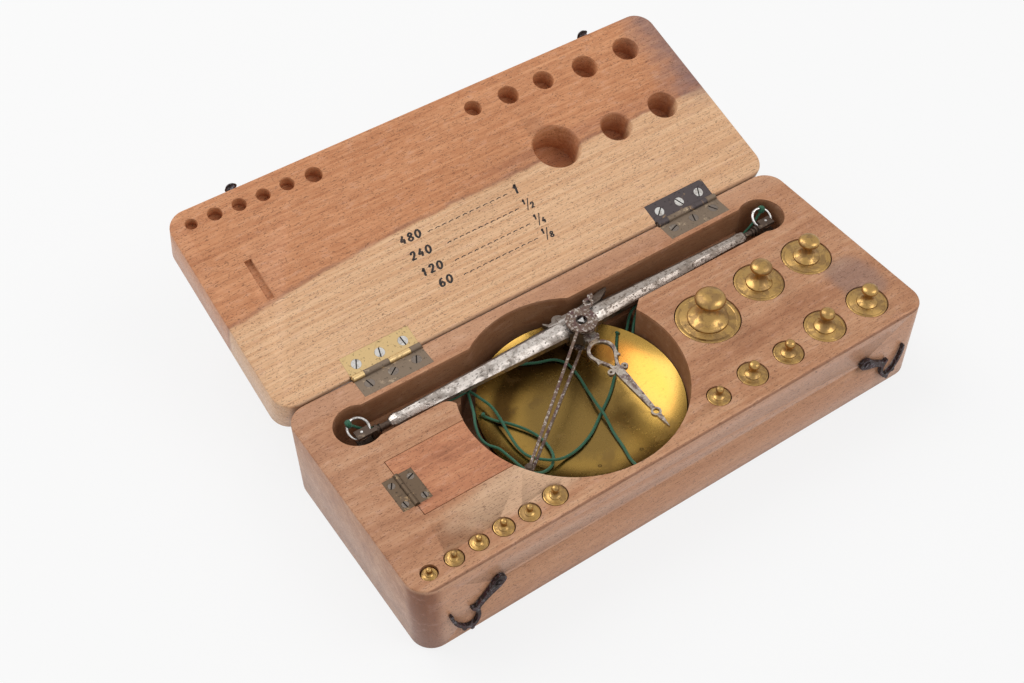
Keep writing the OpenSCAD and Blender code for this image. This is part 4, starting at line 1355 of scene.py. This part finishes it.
@dataclass
class Pan:
    """A spun brass pan."""

    name: str
    node: str
    rim: float
    x: float = -15.6
    y: float = -1.1
    radius: float = 37.8
    depth: float = 8.6
    power: float = 3.6
    sheet: float = 0.6

    def build(self) -> bpy.types.Object:
        """Spin the bowl and dent it slightly.

        Returns:
            The pan.
        """
        count = 44
        inner = []
        for i in range(count + 1):
            r = self.radius * (i / count) ** 0.8
            inner.append((r, -self.depth * (1 - (r / self.radius) ** self.power)))
        outer = [(r, z - self.sheet) for r, z in inner]
        edge = self.radius - 0.02
        rim = [(edge, 0.0), (self.radius, -0.18), (self.radius, -0.42), (edge, -0.58)]
        profile = inner[:-1] + rim + outer[-2::-1]
        bm = lathe(profile, (self.x, self.y, self.rim), 128)
        for vert in bm.verts:
            away = Vector((vert.co.x - self.x, vert.co.y - self.y, 0.0))
            dent = noise.noise(Vector((vert.co.x, vert.co.y, self.rim)) * 0.045)
            vert.co.z += 0.05 * dent * min(away.length / 12.0, 1.0)
        made = piece(self.name, bm, PALETTE.get(BRASS_PAN), 50.0)
        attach(made, "balance")
        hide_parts(self.node)
        return made


@dataclass
class Balance:
    """The beam with its knives, rings, pointer, fork and pans."""

    def build(self) -> None:
        """Dress the balance."""
        dress(PALETTE.get(STEEL), "beam")
        dress(PALETTE.get(STEEL_RING), "central_knife", "end_knives", "end_ring_left", "end_ring_right")
        dress(PALETTE.get(STEEL_DARK), "end_fitting_left", "end_fitting_right", "fork_head")
        dress(PALETTE.get(STEEL_WORN), "pointer")
        dress(PALETTE.get(STEEL_BROWN), "fork_upper_cheek", "fork_lower_cheek")
        Pan("pan_upper", "upper_pan", BASE_H - 12).build()
        Pan("pan_lower", "lower_pan", BASE_H - 14.3).build()
        LOG.info("balance ready")


@dataclass
class KnobWeight:
    """One turned brass weight with its foot disc, neck and cap."""

    node: str
    x: float
    y: float
    diameter: float
    height: float
    knob: float
    foot: float
    low: float
    up: float
    sink: float = 0.2

    def profile(self) -> list[tuple[float, float]]:
        """Return the turned outline.

        Returns:
            Radius and height of each point.
        """
        d, h, r = self.diameter, self.height, self.diameter / 2
        k, f = self.knob * d / 2, self.foot * r
        zc = h + 0.43 * d
        c = 0.03 * d
        body = [
            (0, 0), (r - c, 0), (r - 0.3 * c, 0.3 * c), (r, c),
            (r, h - 0.30), (r - 0.06, h - 0.10), (r - 0.2, h),
            (0.86 * r, h), (0.855 * r, h - 0.05), (0.845 * r, h), (f + 0.12, h), (f, h + 0.06),
            (f, h + 0.022 * d), (0.985 * f, h + 0.034 * d), (0.95 * f, h + 0.045 * d),
        ]
        curve = spline(
            [
                (0.95 * f, 0, h + 0.045 * d), (0.74 * f, 0, h + 0.07 * d), (0.55 * f, 0, h + 0.11 * d),
                (0.41 * f, 0, h + 0.165 * d), (0.19 * r, 0, h + 0.24 * d), (0.18 * r, 0, zc - self.low * k),
            ],
            0.03 * d,
        )
        cap = spline(
            [
                (0.6 * k, 0, zc - 0.97 * self.low * k), (0.86 * k, 0, zc - 0.8 * self.low * k),
                (0.97 * k, 0, zc - 0.42 * self.low * k), (k, 0, zc), (0.965 * k, 0, zc + 0.32 * self.up * k),
                (0.85 * k, 0, zc + 0.6 * self.up * k), (0.64 * k, 0, zc + 0.83 * self.up * k),
                (0.34 * k, 0, zc + 0.96 * self.up * k), (0, 0, zc + self.up * k),
            ],
            0.03 * d,
        )
        turned = [(max(p.x, 0.0), p.z) for p in [*curve[1:], *cap]]
        return body + turned

    def build(self) -> bpy.types.Object:
        """Turn the weight.

        Returns:
            The weight.
        """
        steps = 72 if self.diameter > 12 else 48
        bm = lathe(self.profile(), (self.x, self.y, BASE_H - self.sink - self.height), steps)
        made = piece(self.node + "_brass", bm, PALETTE.get(BRASS), 40.0)
        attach(made, self.node)
        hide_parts(self.node)
        return made


WEIGHTS = (
    KnobWeight("weight_100g", 39, -4, 24, 24, 0.475, 0.64, 0.3, 0.45),
    KnobWeight("weight_50g_a", 66, -0.8, 18.7, 18, 0.44, 0.54, 0.3, 0.5),
    KnobWeight("weight_50g_b", 89.4, -0.8, 18.7, 18, 0.43, 0.54, 0.3, 0.42),
    KnobWeight("weight_20g_a", 91.9, -31, 15.1, 12.8, 0.41, 0.52, 0.35, 0.5),
    KnobWeight("weight_20g_b", 71.2, -31.1, 15.1, 12.8, 0.37, 0.54, 0.5, 0.7),
    KnobWeight("weight_10g_a", 52, -33.2, 10.9, 10.2, 0.35, 0.54, 0.6, 0.8),
    KnobWeight("weight_10g_b", 35.2, -33.5, 10.9, 10.2, 0.37, 0.54, 0.5, 0.7),
    KnobWeight("weight_5g_a", 19, -34.5, 8.4, 8.8, 0.34, 0.52, 0.75, 0.9),
    KnobWeight("weight_5g_b", -51.7, -36.1, 8.4, 8.8, 0.32, 0.5, 0.75, 0.9),
    KnobWeight("weight_3g_a", -62.5, -37, 7.2, 7.4, 0.33, 0.5, 0.75, 0.9),
    KnobWeight("weight_3g_b", -72.6, -36.9, 7.2, 7.4, 0.33, 0.5, 0.8, 0.95),
    KnobWeight("weight_2g_a", -82.4, -37.2, 6.4, 6.4, 0.34, 0.5, 0.75, 0.9),
    KnobWeight("weight_2g_b", -92.1, -37.7, 6.4, 6.4, 0.34, 0.5, 0.8, 0.95),
    KnobWeight("weight_1g", -101.6, -37.8, 5.6, 5.2, 0.36, 0.5, 0.75, 0.9, 1.0),
)


def main() -> None:
    """Build every part in order."""
    logging.basicConfig(level=logging.INFO, format="%(message)s")
    Studio().build()
    SilkWork().build()
    WoodenCase().build()
    LidNumbers().build()
    Hinges().build()
    Latch().build()
    Balance().build()
    for weight in WEIGHTS:
        made = weight.build()
        LOG.info("%s: %d faces", made.name, len(made.data.polygons))


if __name__ == "__main__":
    main()
